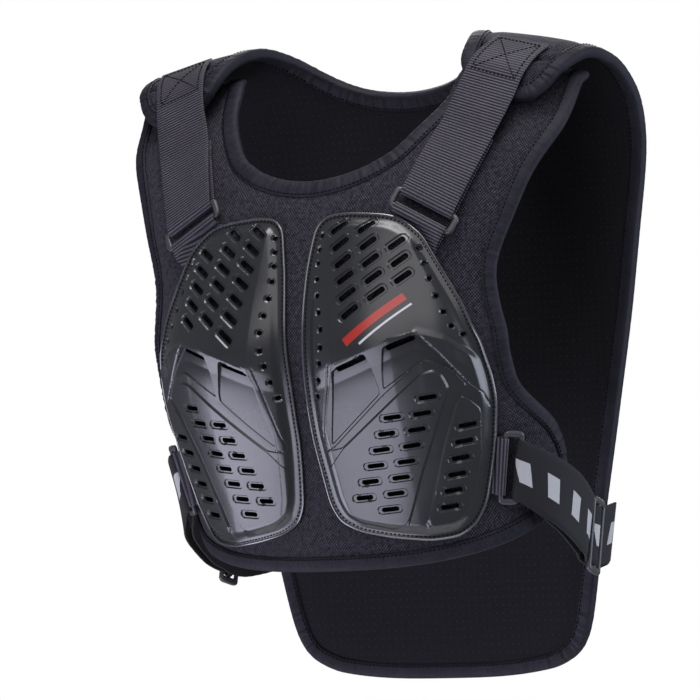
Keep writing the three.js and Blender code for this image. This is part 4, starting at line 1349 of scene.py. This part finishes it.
def plate_rise(points):
    """Height of the plate's main form: folded facets above the bust ridge and a falling crown below it."""
    a, s = points.T
    below = s - read(BUST_RIDGE, "a", "s", a)
    inner, outer = read(PLATE_SIDES, "s", "inner", s), read(PLATE_SIDES, "s", "outer", s)
    fold_in, fold_out = read(FIELD_FOLDS, "s", "inner", s), read(FIELD_FOLDS, "s", "outer", s)
    high_in, high_out = read(FIELD_FOLDS, "s", "inner_h", s), read(FIELD_FOLDS, "s", "outer_h", s)
    f = np.clip((a - fold_in) / (fold_out - fold_in), 0.0, 1.0)
    field = high_in + (high_out - high_in) * f + 4.0 * read(FIELD_FOLDS, "s", "crown", s) * f * (1.0 - f)
    near = np.clip((a - inner - RIM_WIDTH) / np.maximum(fold_in - inner - RIM_WIDTH, 1.0), 0.0, 1.0)
    far = np.clip((a - fold_out) / np.maximum(outer - RIM_WIDTH - fold_out, 1.0), 0.0, 1.0)
    upper = np.where(a < fold_in, RIM_HEIGHT + (high_in - RIM_HEIGHT) * near**INNER_CURVE, field)
    upper = np.where(a > fold_out, RIM_HEIGHT + (high_out - RIM_HEIGHT) * (1.0 - far**OUTER_CURVE), upper)
    flank = read(FLANK, "below", "width", below)
    slope = np.clip((a - inner - RIM_WIDTH) / flank, 0.0, 1.0) ** FLANK_CURVE
    crown = read(BELOW_RIDGE, "below", "rise", below) * read(ACROSS_SHARE, "a", "share", a)
    lower = RIM_HEIGHT + crown * slope
    lip = smooth_step((a - LIP_ENDS[0]) / LIP_FADE) * smooth_step((LIP_ENDS[1] - a) / LIP_FADE)
    width = RIDGE_WIDTH + (LIP_WIDTH - RIDGE_WIDTH) * lip
    mix = smooth_step((below + RIDGE_WIDTH / 2 * (1.0 - lip)) / width)
    return upper + (lower - upper) * mix, below


def bevelled(depth):
    """Rise from 0 to 1 over the width of a moulded bevel."""
    return np.clip(depth / BEVEL, 0.0, 1.0)


def plate_height(points, side, outline, regions):
    """Outer height of a plate: main form with its rim, sewing groove, windows, bands, fields and pockets."""
    d = -polygon_distance(points, outline)
    rise, below = plate_rise(points)
    height = RIM_HEIGHT + (rise - RIM_HEIGHT) * smooth_step((d - 0.9 * RIM_WIDTH) / RIM_FALL)
    inside = {name: bevelled(-polygon_distance(points, loop)) for name, loop in regions.items()}
    scoop = SCOOP_DEPTH * np.exp(-np.maximum(below, 0.0) / SCOOP_FADE) + WINDOW_DEPTH
    height -= scoop * np.maximum(inside["inner"], inside["outer"])
    height -= BAND_DEPTH * inside["band"] * smooth_step((d - RIM_WIDTH) / BAND_FADE)
    height += FIELD_RISE * (inside["low"] + inside["side"])
    for line in SCORES:
        height -= SCORE_DEPTH * np.clip(1.0 - np.abs(line_distance(points, line)) / BEVEL, 0.0, 1.0)
    height -= POCKET_DEPTH * bevelled(-nearest_slot(points, side, 3))
    return height - GROOVE_DEPTH * smooth_step((GROOVE_INSET - d) / GROOVE_WIDTH)


def snapped(points, field, reach):
    """Points within reach of a distance field's zero line, moved onto it along the field's slope."""
    value = field(points)
    near = np.abs(value) < reach
    step = 0.05
    close = points[near]
    for _ in range(2):
        here = field(close)
        slope = np.stack([
            (field(close + (step, 0.0)) - field(close - (step, 0.0))) / (2 * step),
            (field(close + (0.0, step)) - field(close - (0.0, step))) / (2 * step),
        ], -1)
        size = np.maximum(np.sum(slope**2, -1, keepdims=True), 0.05)
        close = close - here[:, None] * slope / size
    moved = points.copy()
    moved[near] = close
    return moved, near


def crease_distance(points, side, regions):
    """Signed distance to the nearest line of a moulded edge: the top and foot of the bevel round each pocket
    and region, the ridge's lip, and the middle and sides of the scored lines."""
    a, s = points.T
    between = (a > LIP_ENDS[0] + 1.0) & (a < LIP_ENDS[1] - 1.0)
    lip = np.where(between, s - read(BUST_RIDGE, "a", "s", a), 1e3)
    edges = [nearest_slot(points, side, 3), *(polygon_distance(points, loop) for loop in regions.values())]
    scores = [line_distance(points, line) for line in SCORES]
    sides = [score + k * BEVEL for score in scores for k in (-1, 0, 1)]
    fields = np.stack([lip, *edges, *(edge + BEVEL for edge in edges), *sides])
    return fields[np.abs(fields).argmin(0), np.arange(len(points))]


def plate_sheet(side, outline, regions):
    """Triangles of a plate's pattern: a fine grid snapped to the outline, vents and moulded edges, with
    each cell split along its more level diagonal, and the triangles outside the outline and inside the
    vents left out."""
    low, high = outline.min(0) - 2.0, outline.max(0) + 2.0
    columns, rows = np.ceil((high - low) / PLATE_GRID).astype(int) + 1
    across, down = low[0] + PLATE_GRID * np.arange(columns), low[1] + PLATE_GRID * np.arange(rows)
    points = np.stack(np.meshgrid(across, down), -1).reshape(-1, 2)

    def cut(places):
        """Signed distance to the outline and the vents, negative in the material."""
        return np.maximum(polygon_distance(places, outline), -nearest_slot(places, side, 2))

    points, held = snapped(points, cut, OUTLINE_SNAP * PLATE_GRID)

    def crease(places):
        """Signed distance to the nearest moulded edge."""
        return crease_distance(places, side, regions)

    points[~held], _ = snapped(points[~held], crease, CREASE_SNAP * PLATE_GRID)
    sign = np.where(held, 0, np.sign(cut(points)))
    a, b, c, d = grid_faces(rows, columns).T
    level = plate_height(points, side, outline, regions)
    flatter = np.abs(level[b] - level[d]) < np.abs(level[a] - level[c])
    swap = (sign[a] * sign[c] < 0) | (flatter & (sign[b] * sign[d] >= 0))
    faces = np.concatenate([
        np.stack([a, b, np.where(swap, d, c)], -1),
        np.stack([np.where(swap, b, a), c, d], -1),
    ])
    faces = faces[sign[faces].max(1) <= 0]
    faces = faces[cut(points[faces].mean(1)) < 0.0]
    used, index = np.unique(faces, return_inverse=True)
    return points[used], index.reshape(-1, 3)


def rim_bead(outline):
    """Round bead along the plate's rim: a small circle carried round the outline."""
    turns = 2 * np.pi * np.arange(BEAD_SIDES) / BEAD_SIDES
    inset = BEAD_INSET + BEAD_RADIUS * np.cos(turns)
    places = outline[:, None, :] + inset[None, :, None] * outline_inward(outline)[:, None, :]
    heights = np.broadcast_to(RIM_HEIGHT - BEAD_SINK + BEAD_RADIUS * np.sin(turns), places.shape[:2])
    points = FORMS["front"].at(places[..., 0], places[..., 1], heights).reshape(-1, 3)
    return points, grid_faces(len(outline), BEAD_SIDES, True, True), places.reshape(-1, 2)


def build_plate(side, sizes, materials):
    """Chest plate: a closed shell of even wall over its pattern, with the vents right through and a bead on
    its rim."""
    outline = plate_outline()
    regions = plate_regions()
    places, faces = plate_sheet(side, outline, regions)
    outer = plate_height(places, side, outline, regions)
    inner = np.maximum(outer - sizes.plate_thickness / MM, PLATE_BASE - 0.1)
    a, s = places.T
    shell = np.concatenate([FORMS["front"].at(a, s, outer), FORMS["front"].at(a, s, inner)])
    bead, bead_faces, bead_places = rim_bead(outline)
    points = mirrored(np.concatenate([shell, bead]), side)
    groups = [*slab(faces, len(places)), bead_faces + len(shell)]
    uv = np.concatenate([places, places, bead_places])
    beaded = np.repeat([0, 0, 0, 1], [len(group) for group in groups])
    name = f"chest_shell_{side}"
    piece = make_mesh(name, points, groups, uv, materials, sharp=30.0, face_materials=beaded)
    return seat(piece, "plate", f"chest_plate_{side}")


# Straps
def catmull_rom(stations, samples):
    """Centripetal Catmull-Rom curve through stations, read at even steps of each span."""
    p = np.concatenate([2 * stations[:1] - stations[1:2], stations, 2 * stations[-1:] - stations[-2:-1]])
    gaps = np.sqrt(np.linalg.norm(np.diff(p, axis=0), axis=1))[:, None]
    d0, d1, d2 = gaps[:-2], gaps[1:-1], gaps[2:]
    p0, p1, p2, p3 = p[:-3], p[1:-2], p[2:-1], p[3:]
    m1 = ((p1 - p0) / d0 - (p2 - p0) / (d0 + d1) + (p2 - p1) / d1) * d1
    m2 = ((p2 - p1) / d1 - (p3 - p1) / (d1 + d2) + (p3 - p2) / d2) * d1
    t = (np.arange(samples) / samples)[:, None, None]
    curve = p1 + t * (m1 + t * (3 * (p2 - p1) - 2 * m1 - m2 + t * (2 * (p1 - p2) + m1 + m2)))
    return np.concatenate([curve.transpose(1, 0, 2).reshape(-1, 3), stations[-1:]])


class StrapRun:
    """Strip ruled between two edge curves through a route's stations, read by length u, width w and height
    k in millimetres. The first side across it is chosen so that height points away from the body."""

    SPAN = 120

    def __init__(self, route, width, first_side):
        edges = [self.edge(route, side * width / 2) for side in (first_side, -first_side)]
        first, second = (catmull_rom(edge, self.SPAN) for edge in edges)
        self.centre = (first + second) / 2
        self.lengths = path_length(self.centre)
        self.across = unit(second - first)
        self.up = unit(np.cross(self.across, np.gradient(self.centre, axis=0)))

    @staticmethod
    def edge(route, reach):
        """Stations of one edge, in millimetres."""
        points = []
        for panel, a, s, height, turn in route:
            along = np.radians(turn)
            if panel == "free":
                points.append((a, s - reach * np.sin(along), height - reach * np.cos(along)))
            else:
                place = FORMS[panel].at(a + reach * np.cos(along), s + reach * np.sin(along), height)
                points.append(place / MM)
        return np.array(points)

    def station(self, index):
        """Length at a station of the route."""
        return self.lengths[index * self.SPAN]

    def axes(self, u):
        """Middle, direction across and direction up at each length u."""
        return tuple(along_line(self.lengths, values, u) for values in (self.centre, self.across, self.up))

    def at(self, u, w, k):
        """Points in metres."""
        centre, across, up = self.axes(u)
        return (centre + across * np.asarray(w)[..., None] + up * np.asarray(k)[..., None]) * MM


def fold(u, k, reach, count=9):
    """Half turn of a path round a bar at u, from height k to -k."""
    turn = np.pi / 2 - np.pi * np.arange(count) / (count - 1)
    return np.stack([u + reach * abs(k) * np.cos(turn), k * np.sin(turn)], -1)


def strap_section(width):
    """Section across a strap as (place across, share of half its thickness), round at both edges."""
    half = width / 2
    top = np.linspace(-half + 0.5, half - 0.5, 11)
    edge = [(half - 0.08, 0.62), (half, 0.0), (half - 0.08, -0.62)]
    section = [(w, 1.0) for w in top] + edge + [(w, -1.0) for w in top[::-1]]
    return np.array(section + [(-w, -n) for w, n in edge])


def sweep_strap(run, path, width, thickness, rib_pitch, rib_depth, plain=0.0, fit=None):
    """Webbing along a path of length and height: its section, thickened by a row of crosswise ribs that
    start past a plain end; fit may change the heights by place along and across."""
    line = average(spread(path, int(path_length(path)[-1] / STRAP_STEP)), STRAP_BLUR, False)
    lengths = path_length(line)
    ahead = unit(np.gradient(line, axis=0))
    section = strap_section(width)
    share = PLAIN_RIBS + (1.0 - PLAIN_RIBS) * smooth_step((lengths - plain) / RIB_FADE)
    ribs = rib_depth * np.cos(2 * np.pi * lengths / rib_pitch) * share
    reach = section[None, :, 1] * (thickness / 2 + ribs[:, None] * (np.abs(section[None, :, 1]) > 0.9))
    u = line[:, None, 0] - ahead[:, None, 1] * reach
    k = line[:, None, 1] + ahead[:, None, 0] * reach
    waver = EDGE_WAVER * ripple(lengths, EDGE_WAVES, WAVER_SEED)[:, None] * np.sign(section[None, :, 0])
    w = np.broadcast_to(section[None, :, 0], u.shape) + waver
    if fit:
        k = fit(u, w, k, np.arange(len(line))[:, None] < len(line) / 2)
    points = run.at(u, w, k).reshape(-1, 3)
    uv = np.stack(np.broadcast_arrays(lengths[:, None], w), -1).reshape(-1, 2)
    rows, columns = u.shape
    return points, [grid_faces(rows, columns, False, True), end_caps(rows, columns)], uv


def tuck_reach(run, route, ring, end, first_side, across):
    """Length from a ring to the chest plate's edge, at places across the webbing."""
    outline = plate_outline()
    offset = -first_side * across
    rows = []
    for row in (ring, end):
        _, a, s, _, turn = route[row]
        along = np.radians(turn)
        rows.append(np.stack([a + offset * np.cos(along), s + offset * np.sin(along)], -1))
    t = np.linspace(0.0, 1.0, 120)
    places = rows[0][:, None] + (rows[1] - rows[0])[:, None] * t[None, :, None]
    inside = polygon_distance(places.reshape(-1, 2), outline).reshape(len(across), -1) < 0.0
    first = np.where(inside.any(1), inside.argmax(1), len(t) - 1)
    return t[first] * abs(run.station(end) - run.station(ring))


def tucked(run, route, ring, end, first_side, width, thickness):
    """Fit for an anchor: both layers sink towards the panel and lie flat where the plate covers them."""
    across = np.linspace(-width / 2, width / 2, 41)
    reach = tuck_reach(run, route, ring, end, first_side, across)
    start, stop = run.station(ring), run.station(end)

    def fit(u, w, k, upper):
        """Heights k at places (u, w), for the upper layer or the lower one."""
        t = (u - start) / (stop - start)
        flat = TUCK_HEIGHT - (route[ring][3] + (route[end][3] - route[ring][3]) * t)
        layer = np.where(upper, 0.5, -0.5) * thickness
        left = np.interp(w, across, reach) - np.abs(u - start)
        clear = smooth_step((np.abs(u - start) - RING_PITCH / 2 - TUCK_CLEAR) / TUCK_FADE)
        sunk = smooth_step((TUCK_LENGTH - left) / TUCK_LENGTH) * clear * (t > 0.0)
        spread_k = np.clip(k, -RING_BAR - thickness, RING_BAR + thickness)
        ease = LAYER_SHARE * (spread_k - np.where(upper, LAYER_MIDDLE, -LAYER_MIDDLE))
        return spread_k + sunk * (flat + layer + ease - spread_k)

    return fit


def build_strap(name, node, side, swept, material, slot):
    """Strap or anchor from its swept webbing."""
    points, faces, uv = swept
    return seat(make_mesh(name, mirrored(points, side), faces, uv, [material], sharp=50.0), slot, node)


def bar_loop(half_u, half_w, corner):
    """Rounded rectangle in a strap's own plane, as a closed line of (u, w)."""
    corners = [(-half_u, -half_w), (half_u, -half_w), (half_u, half_w), (-half_u, half_w)]
    return rounded_loop(corners, 0.8, corner)


def sweep_bar(line, radius_u, radius_k, closed):
    """Squarish oval bar carried along a line in a strap's plane, as places (u, w, k)."""
    ahead = unit(np.roll(line, -1, 0) - np.roll(line, 1, 0)) if closed else unit(np.gradient(line, axis=0))
    square = np.stack([ahead[:, 1], -ahead[:, 0]], -1)
    turns = 2 * np.pi * np.arange(BAR_SIDES) / BAR_SIDES
    share_u, share_k = (np.abs(wave) ** 0.7 * np.sign(wave) for wave in (np.cos(turns), np.sin(turns)))
    flat = line[:, None, :] + square[:, None, :] * (radius_u[:, None] * share_u[None, :])[..., None]
    tall = radius_k[:, None] * share_k[None, :]
    return np.concatenate([flat, tall[..., None]], -1)


def place_bars(run, u0, bars):
    """Points in metres of swept bars, in the strap's own axes at length u0."""
    centre, across, up = (value[0] for value in run.axes(np.array([u0])))
    along = np.cross(up, across)
    u, w, k = bars.reshape(-1, 3).T
    return (centre + u[:, None] * along + w[:, None] * across + k[:, None] * up) * MM


def loop_mesh(run, u0, half_u, half_w, end):
    """Moulded ring: slim bars along the webbing and stouter rounded lugs at both ends."""
    line = bar_loop(half_u, half_w, RING_CORNER)
    lug = smooth_step((np.abs(line[:, 1]) - half_w + LUG_LENGTH) / LUG_LENGTH)
    radius_u = RING_BAR / 2 + (end / 2 - RING_BAR / 2) * lug
    bars = sweep_bar(line, radius_u, RING_BAR / 2 + LUG_RISE * lug, True)
    return place_bars(run, u0, bars), grid_faces(len(line), BAR_SIDES, True, True)


def build_ring(name, node, side, run, u0, width, material):
    """Rectangular ring for the webbing."""
    half_w = width / 2 + RING_SLACK + RING_END / 2
    points, faces = loop_mesh(run, u0, RING_PITCH / 2, half_w, RING_END)
    uv = np.zeros((len(points), 2))
    piece = make_mesh(name, mirrored(points, side), [faces], uv, [material], sharp=60.0)
    return seat(piece, "moulding", node)


def build_slider(name, node, side, run, u0, material):
    """Three-bar slider: a ring with one more bar across its middle."""
    half_w = SLIDER_LENGTH / 2 - SLIDER_END / 2
    points, faces = loop_mesh(run, u0, SLIDER_DEPTH / 2 - RING_BAR / 2, half_w, SLIDER_END)
    rows = 40
    line = np.stack([np.zeros(rows), np.linspace(-half_w, half_w, rows)], -1)
    radius = np.full(rows, RING_BAR / 2 - 0.2)
    bar = place_bars(run, u0, sweep_bar(line, radius, radius, False))
    tube = grid_faces(rows, BAR_SIDES, False, True) + len(points)
    groups = [np.concatenate([faces, tube]), end_caps(rows, BAR_SIDES) + len(points)]
    both = np.concatenate([points, bar])
    uv = np.zeros((len(both), 2))
    piece = make_mesh(name, mirrored(both, side), groups, uv, [material], sharp=60.0)
    return seat(piece, "moulding", node)


def shoulder_paths(run, fold_reach, thickness):
    """Paths of the shoulder strap, folded back under itself at the ring, and of the anchor below."""
    ring = run.station(SHOULDER_RING_STATION)
    upper, lower = ring - RING_PITCH / 2, ring + RING_PITCH / 2
    strap = np.concatenate([
        [(0.0, 0.0), (upper - 62.0, 0.0), (upper, fold_reach)],
        fold(upper, fold_reach, 1),
        [(upper - 9.0, -fold_reach), (upper - RETURN_LENGTH, -2.4 * thickness)],
    ])
    anchor = np.concatenate([
        [(lower + ANCHOR_REACH, 0.7 * thickness), (lower, fold_reach)],
        fold(lower, fold_reach, -1),
        [(lower + 9.0, -0.8 * fold_reach), (lower + ANCHOR_REACH, -0.7 * thickness)],
    ])
    return ring, strap, anchor


def side_paths(run, fold_reach, layer, under):
    """Paths of the elastic, from slider to ring and back under the slider to the back panel, and of the
    anchor that holds the ring."""
    ring = run.station(SIDE_RING_STATION)
    inner, outer = ring - RING_PITCH / 2, ring + RING_PITCH / 2
    slider = run.station(SIDE_SLIDER_STATION)
    end = run.lengths[-1]
    anchor = np.concatenate([
        [(inner - 22.0, 1.2), (inner - 9.0, 0.9 * fold_reach)],
        fold(inner, fold_reach, 1),
        [(inner - 9.0, -0.85 * fold_reach), (inner - 22.0, -1.6)],
    ])
    bar = slider - SLIDER_DEPTH / 2 + RING_BAR / 2
    elastic = np.concatenate([
        [(slider - 9.0, -5.0), (slider - 4.0, -3.3)],
        fold(slider, 2.6, 1)[::-1],
        [(slider - 5.0, 0.6), (bar, -2.9), (bar - 7.0, 0.8), (bar - 17.0, layer), (outer + 3.0, layer)],
        fold(outer, layer, -1),
        [(outer + 9.0, -layer), (slider - 26.0, -layer), (slider - 16.0, under), (end, under)],
    ])
    return ring, slider, anchor, elastic


def box_stitches(run, corners, height, count):
    """Line of points and directions out, for stitches from corner to corner on a strap."""
    u, w = spread(np.array(corners, float), count).T
    return run.at(u, w, np.full(count, height)), run.axes(u)[2]


# Operators
def settings_of(context):
    """Sizes and colours of the scene."""
    return context.scene.protector_sizes, context.scene.protector_colours


class PROTECTOR_OT_panels(bpy.types.Operator):
    """Padded front and back panels"""

    bl_idname = "protector.panels"
    bl_label = "Panels"

    def execute(self, context):
        sizes, colours = settings_of(context)
        materials = [look(name, sizes, colours) for name in ("spacer_knit", "shaded_pierced_lining")]
        front, back = sizes.front_thickness / MM, sizes.back_thickness / MM
        plate = plate_outline()

        def under_plates(places):
            """Height of the plates' underside, and a little more beside them."""
            beside = polygon_distance(left_half(places), plate)
            return PLATE_BASE - 0.2 + 0.5 * smooth_step((beside - 6.0) / 10.0)

        def open_air(places):
            """Height that the padding never reaches."""
            return np.full(len(places), back + SWELL_CAP)

        build_panel(
            "front_pad", "front_panel", FORMS["front"], FRONT_EDGES, front, materials, PAD_SEEDS["front"],
            under_plates,
        )
        build_panel(
            "back_pad", "back_panel", FORMS["back"], BACK_EDGES, back, materials, PAD_SEEDS["back"],
            open_air, PAD_CREASES,
        )
        return {"FINISHED"}


class PROTECTOR_OT_bindings(bpy.types.Operator):
    """Edge bindings of both panels"""

    bl_idname = "protector.bindings"
    bl_label = "Bindings"

    def execute(self, context):
        sizes, colours = settings_of(context)
        tape = look("edge_binding", sizes, colours)
        thread = look("sewing_thread", sizes, colours)
        panels = {
            "front": (FRONT_EDGES, sizes.front_thickness / MM),
            "back": (BACK_EDGES, sizes.back_thickness / MM),
        }
        for row, (name, (edges, thickness)) in enumerate(panels.items()):
            form = FORMS[name]
            seed = BINDING_SEED + row
            build_binding(f"{name}_binding", f"{name}_edge_tape", form, edges, thickness, sizes, tape, seed)
            outline = panel_outline(edges)
            inset = sizes.tape_width / MM * (1.0 + NECK_BINDING * neck_share(outline, edges)) - THREAD_INSET
            heights = thickness + THREAD_RISE, -THREAD_RISE
            lines = [outline_line(form, outline, inset, height) for height in heights]
            build_stitches(f"{name}_binding_thread", lines, sizes, thread, "edge_tape")
        return {"FINISHED"}


class PROTECTOR_OT_chest_plates(bpy.types.Operator):
    """Vented chest plates with their sewing"""

    bl_idname = "protector.chest_plates"
    bl_label = "Chest plates"

    def execute(self, context):
        sizes, colours = settings_of(context)
        thread = look("sewing_thread", sizes, colours)
        looks = {"left": "marked_plate", "right": "plain_plate"}
        height = RIM_HEIGHT - RIM_THREAD_SINK
        line, up = outline_line(FORMS["front"], plate_outline(), RIM_THREAD_INSET, height)
        for side, skin in looks.items():
            build_plate(side, sizes, [look(name, sizes, colours) for name in (skin, "highlight_painted_rim")])
            lines = [(mirrored(line, side), mirrored(up, side))]
            build_stitches(f"plate_thread_{side}", lines, sizes, thread, "plate")
        return {"FINISHED"}


class PROTECTOR_OT_shoulder_straps(bpy.types.Operator):
    """Shoulder webbing with its rings, anchors and box stitching"""

    bl_idname = "protector.shoulder_straps"
    bl_label = "Shoulder straps"

    def execute(self, context):
        sizes, colours = settings_of(context)
        web = look("ribbed_webbing", sizes, colours)
        moulding = look("dull_moulding", sizes, colours)
        thread = look("sewing_thread", sizes, colours)
        width, pitch = sizes.webbing_width / MM, sizes.rib_pitch / MM
        thickness = sizes.webbing_thickness / MM
        reach = RING_BAR / 2 + thickness / 2 + FOLD_GAP
        run = StrapRun(SHOULDER_ROUTE, width, 1)
        ring, strap, anchor = shoulder_paths(run, reach, thickness)
        station = SHOULDER_RING_STATION
        fit = tucked(run, SHOULDER_ROUTE, station, station + 1, 1, width, thickness)
        strap_mesh = sweep_strap(run, strap, width, thickness, pitch, RIB_DEPTH, plain=PLAIN_END)
        anchor_mesh = sweep_strap(run, anchor, width, thickness, pitch, RIB_DEPTH, fit=fit)
        stitched = box_stitches(run, SHOULDER_BOX, thickness / 2 + 0.25, 300)
        for side in SIDES:
            build_strap(
                f"shoulder_webbing_{side}", f"shoulder_strap_{side}", side, strap_mesh, web, "webbing"
            )
            build_strap(f"shoulder_tab_{side}", f"shoulder_anchor_{side}", side, anchor_mesh, web, "webbing")
            build_ring(f"shoulder_loop_{side}", f"shoulder_ring_{side}", side, run, ring, width, moulding)
            lines = [tuple(mirrored(values, side) for values in stitched)]
            build_stitches(f"shoulder_thread_{side}", lines, sizes, thread, "webbing")
        return {"FINISHED"}


class PROTECTOR_OT_side_straps(bpy.types.Operator):
    """Elastic side straps with their rings, anchors, sliders and sewn ends"""

    bl_idname = "protector.side_straps"
    bl_label = "Side straps"

    def execute(self, context):
        sizes, colours = settings_of(context)
        web = look("ribbed_webbing", sizes, colours)
        elastic = look("woven_elastic", sizes, colours)
        moulding = look("dull_moulding", sizes, colours)
        thread = look("sewing_thread", sizes, colours)
        width, pitch = sizes.webbing_width / MM, sizes.rib_pitch / MM
        web_thickness, thickness = sizes.webbing_thickness / MM, sizes.elastic_thickness / MM
        reach = RING_BAR / 2 + web_thickness / 2 + FOLD_GAP
        layer = RING_BAR / 2 + thickness / 2 + ELASTIC_GAP
        under = -(layer + thickness + UNDER_GAP)
        run = StrapRun(SIDE_ROUTE, width, -1)
        ring, slider, anchor, path = side_paths(run, reach, layer, under)
        fit = tucked(run, SIDE_ROUTE, SIDE_RING_STATION, SIDE_RING_STATION - 1, -1, width, web_thickness)
        anchor_mesh = sweep_strap(run, anchor, width - 2.0, web_thickness, pitch, RIB_DEPTH, fit=fit)
        elastic_mesh = sweep_strap(run, path, width, thickness, pitch, 0.0)
        box = [(run.lengths[-1] + u, w) for u, w in SIDE_BOX]
        stitched = box_stitches(run, box, under + thickness / 2 + 0.2, 240)
        for side in SIDES:
            build_strap(f"side_tab_{side}", f"side_anchor_{side}", side, anchor_mesh, web, "webbing")
            build_strap(f"side_elastic_{side}", f"side_strap_{side}", side, elastic_mesh, elastic, "elastic")
            build_ring(f"side_loop_{side}", f"side_ring_{side}", side, run, ring, width, moulding)
            build_slider(f"side_adjuster_{side}", f"side_slider_{side}", side, run, slider, moulding)
            lines = [tuple(mirrored(values, side) for values in stitched)]
            build_stitches(f"side_thread_{side}", lines, sizes, thread, "elastic")
        return {"FINISHED"}


def camera_axes():
    """Level right direction, then the camera's own right, up and backward directions."""
    back = np.array([np.sin(CAMERA_TURN), -np.cos(CAMERA_TURN), 0.0])
    right = np.array([np.cos(CAMERA_TURN), np.sin(CAMERA_TURN), 0.0])
    up = np.array([0.0, 0.0, 1.0])
    cos, sin = np.cos(CAMERA_ROLL), np.sin(CAMERA_ROLL)
    return right, right * cos - up * sin, right * sin + up * cos, back


def add_camera():
    """Camera at the view's angle, far off with a long lens."""
    right, x, y, back = camera_axes()
    aim = np.array([0.0, 0.0, CAMERA_AIM[1] * MM]) + right * CAMERA_AIM[0] * MM
    data = bpy.data.cameras.new("camera")
    data.sensor_width = SENSOR_MM
    data.lens = SENSOR_MM * PIXELS_PER_MM / MM * CAMERA_DISTANCE / IMAGE_PIXELS
    data.clip_end = 50.0
    camera = bpy.data.objects.new("camera", data)
    turn = Matrix([x, y, back]).transposed().to_4x4()
    camera.matrix_world = Matrix.Translation(Vector(aim + back * CAMERA_DISTANCE)) @ turn
    bpy.context.scene.collection.objects.link(camera)
    bpy.context.scene.camera = camera


def add_light(name, place, size, power, colour):
    """Square soft light that faces the object."""
    data = bpy.data.lights.new(name, "AREA")
    data.size = size
    data.energy = power
    data.color = colour
    light = bpy.data.objects.new(name, data)
    turn = (Vector(LIGHT_AIM) - Vector(place)).to_track_quat("-Z", "Y").to_matrix().to_4x4()
    light.matrix_world = Matrix.Translation(Vector(place)) @ turn
    bpy.context.scene.collection.objects.link(light)


def add_world():
    """White surround to the eye, with a softer light of its own on the object."""
    world = bpy.data.worlds.new("studio")
    world.use_nodes = True
    nodes = Nodes(world.node_tree)
    background = world.node_tree.nodes["Background"]
    path = nodes.add("LightPath").outputs["Is Camera Ray"]
    strength = nodes.math("ADD", nodes.math("MULTIPLY", path, SURROUND_SEEN), SURROUND_LIGHT)
    background.inputs["Color"].default_value = (1.0, 1.0, 1.0, 1.0)
    world.node_tree.links.new(strength, background.inputs["Strength"])
    bpy.context.scene.world = world


def add_floor(colour):
    """Round pale floor below the object: a disc with a rolled edge, as rings of points about its middle."""
    low = float(CAD_BOX[0].z) - FLOOR_DROP
    turns = 2 * np.pi * np.arange(FLOOR_SIDES) / FLOOR_SIDES
    profile = np.array([
        (0.02, 0.0), (0.3, 0.0), (0.57, 0.0), (0.578, -0.002), (0.58, -0.008), (0.57, -0.016), (0.02, -0.016),
    ])
    around = np.stack([np.cos(turns), np.sin(turns)], -1)
    flat = profile[:, None, :1] * around[None]
    tall = np.broadcast_to(low + profile[:, None, 1:], (len(profile), FLOOR_SIDES, 1))
    points = np.concatenate([flat, tall], -1).reshape(-1, 3)
    caps = end_caps(len(profile), FLOOR_SIDES)[:, ::-1]
    material, nodes, shader, place = new_material("pale_floor", {"Specular IOR Level": 0.2}, False)
    tinted(nodes, shader, place, colour, Amount=0.04, Broad=4.0, Fine=300.0, Roughness=0.8)
    faces = [grid_faces(len(profile), FLOOR_SIDES, False, True), caps]
    make_mesh("floor", points, faces, np.zeros((len(points), 2)), [material])


class PROTECTOR_OT_stage(bpy.types.Operator):
    """Camera, soft lights, white surround and pale floor"""

    bl_idname = "protector.stage"
    bl_label = "Stage"

    def execute(self, context):
        add_camera()
        add_world()
        add_floor(settings_of(context)[1].floor)
        for name, values in LIGHTS.items():
            add_light(name, *values)
        context.scene.view_settings.view_transform = "Standard"
        return {"FINISHED"}


class PROTECTOR_PT_sidebar(bpy.types.Panel):
    """Lists the steps that build the protector"""

    bl_label = "Body protector"
    bl_idname = "PROTECTOR_PT_sidebar"
    bl_space_type = "VIEW_3D"
    bl_region_type = "UI"
    bl_category = "Protector"

    def draw(self, context):
        for operator in OPERATORS:
            self.layout.operator(operator.bl_idname)


OPERATORS = (
    PROTECTOR_OT_stage,
    PROTECTOR_OT_panels,
    PROTECTOR_OT_bindings,
    PROTECTOR_OT_chest_plates,
    PROTECTOR_OT_shoulder_straps,
    PROTECTOR_OT_side_straps,
)
CLASSES = (ProtectorSizes, ProtectorColours, *OPERATORS, PROTECTOR_PT_sidebar)


def register():
    """Adds the classes and the scene's settings."""
    for cls in CLASSES:
        bpy.utils.register_class(cls)
    bpy.types.Scene.protector_sizes = bpy.props.PointerProperty(type=ProtectorSizes)
    bpy.types.Scene.protector_colours = bpy.props.PointerProperty(type=ProtectorColours)


def unregister():
    """Takes the settings and classes away again."""
    del bpy.types.Scene.protector_colours
    del bpy.types.Scene.protector_sizes
    for cls in reversed(CLASSES):
        bpy.utils.unregister_class(cls)


def main():
    """Builds every piece in order."""
    register()
    bpy.ops.protector.stage()
    bpy.ops.protector.panels()
    bpy.ops.protector.bindings()
    bpy.ops.protector.chest_plates()
    bpy.ops.protector.shoulder_straps()
    bpy.ops.protector.side_straps()


if __name__ == "__main__":
    main()
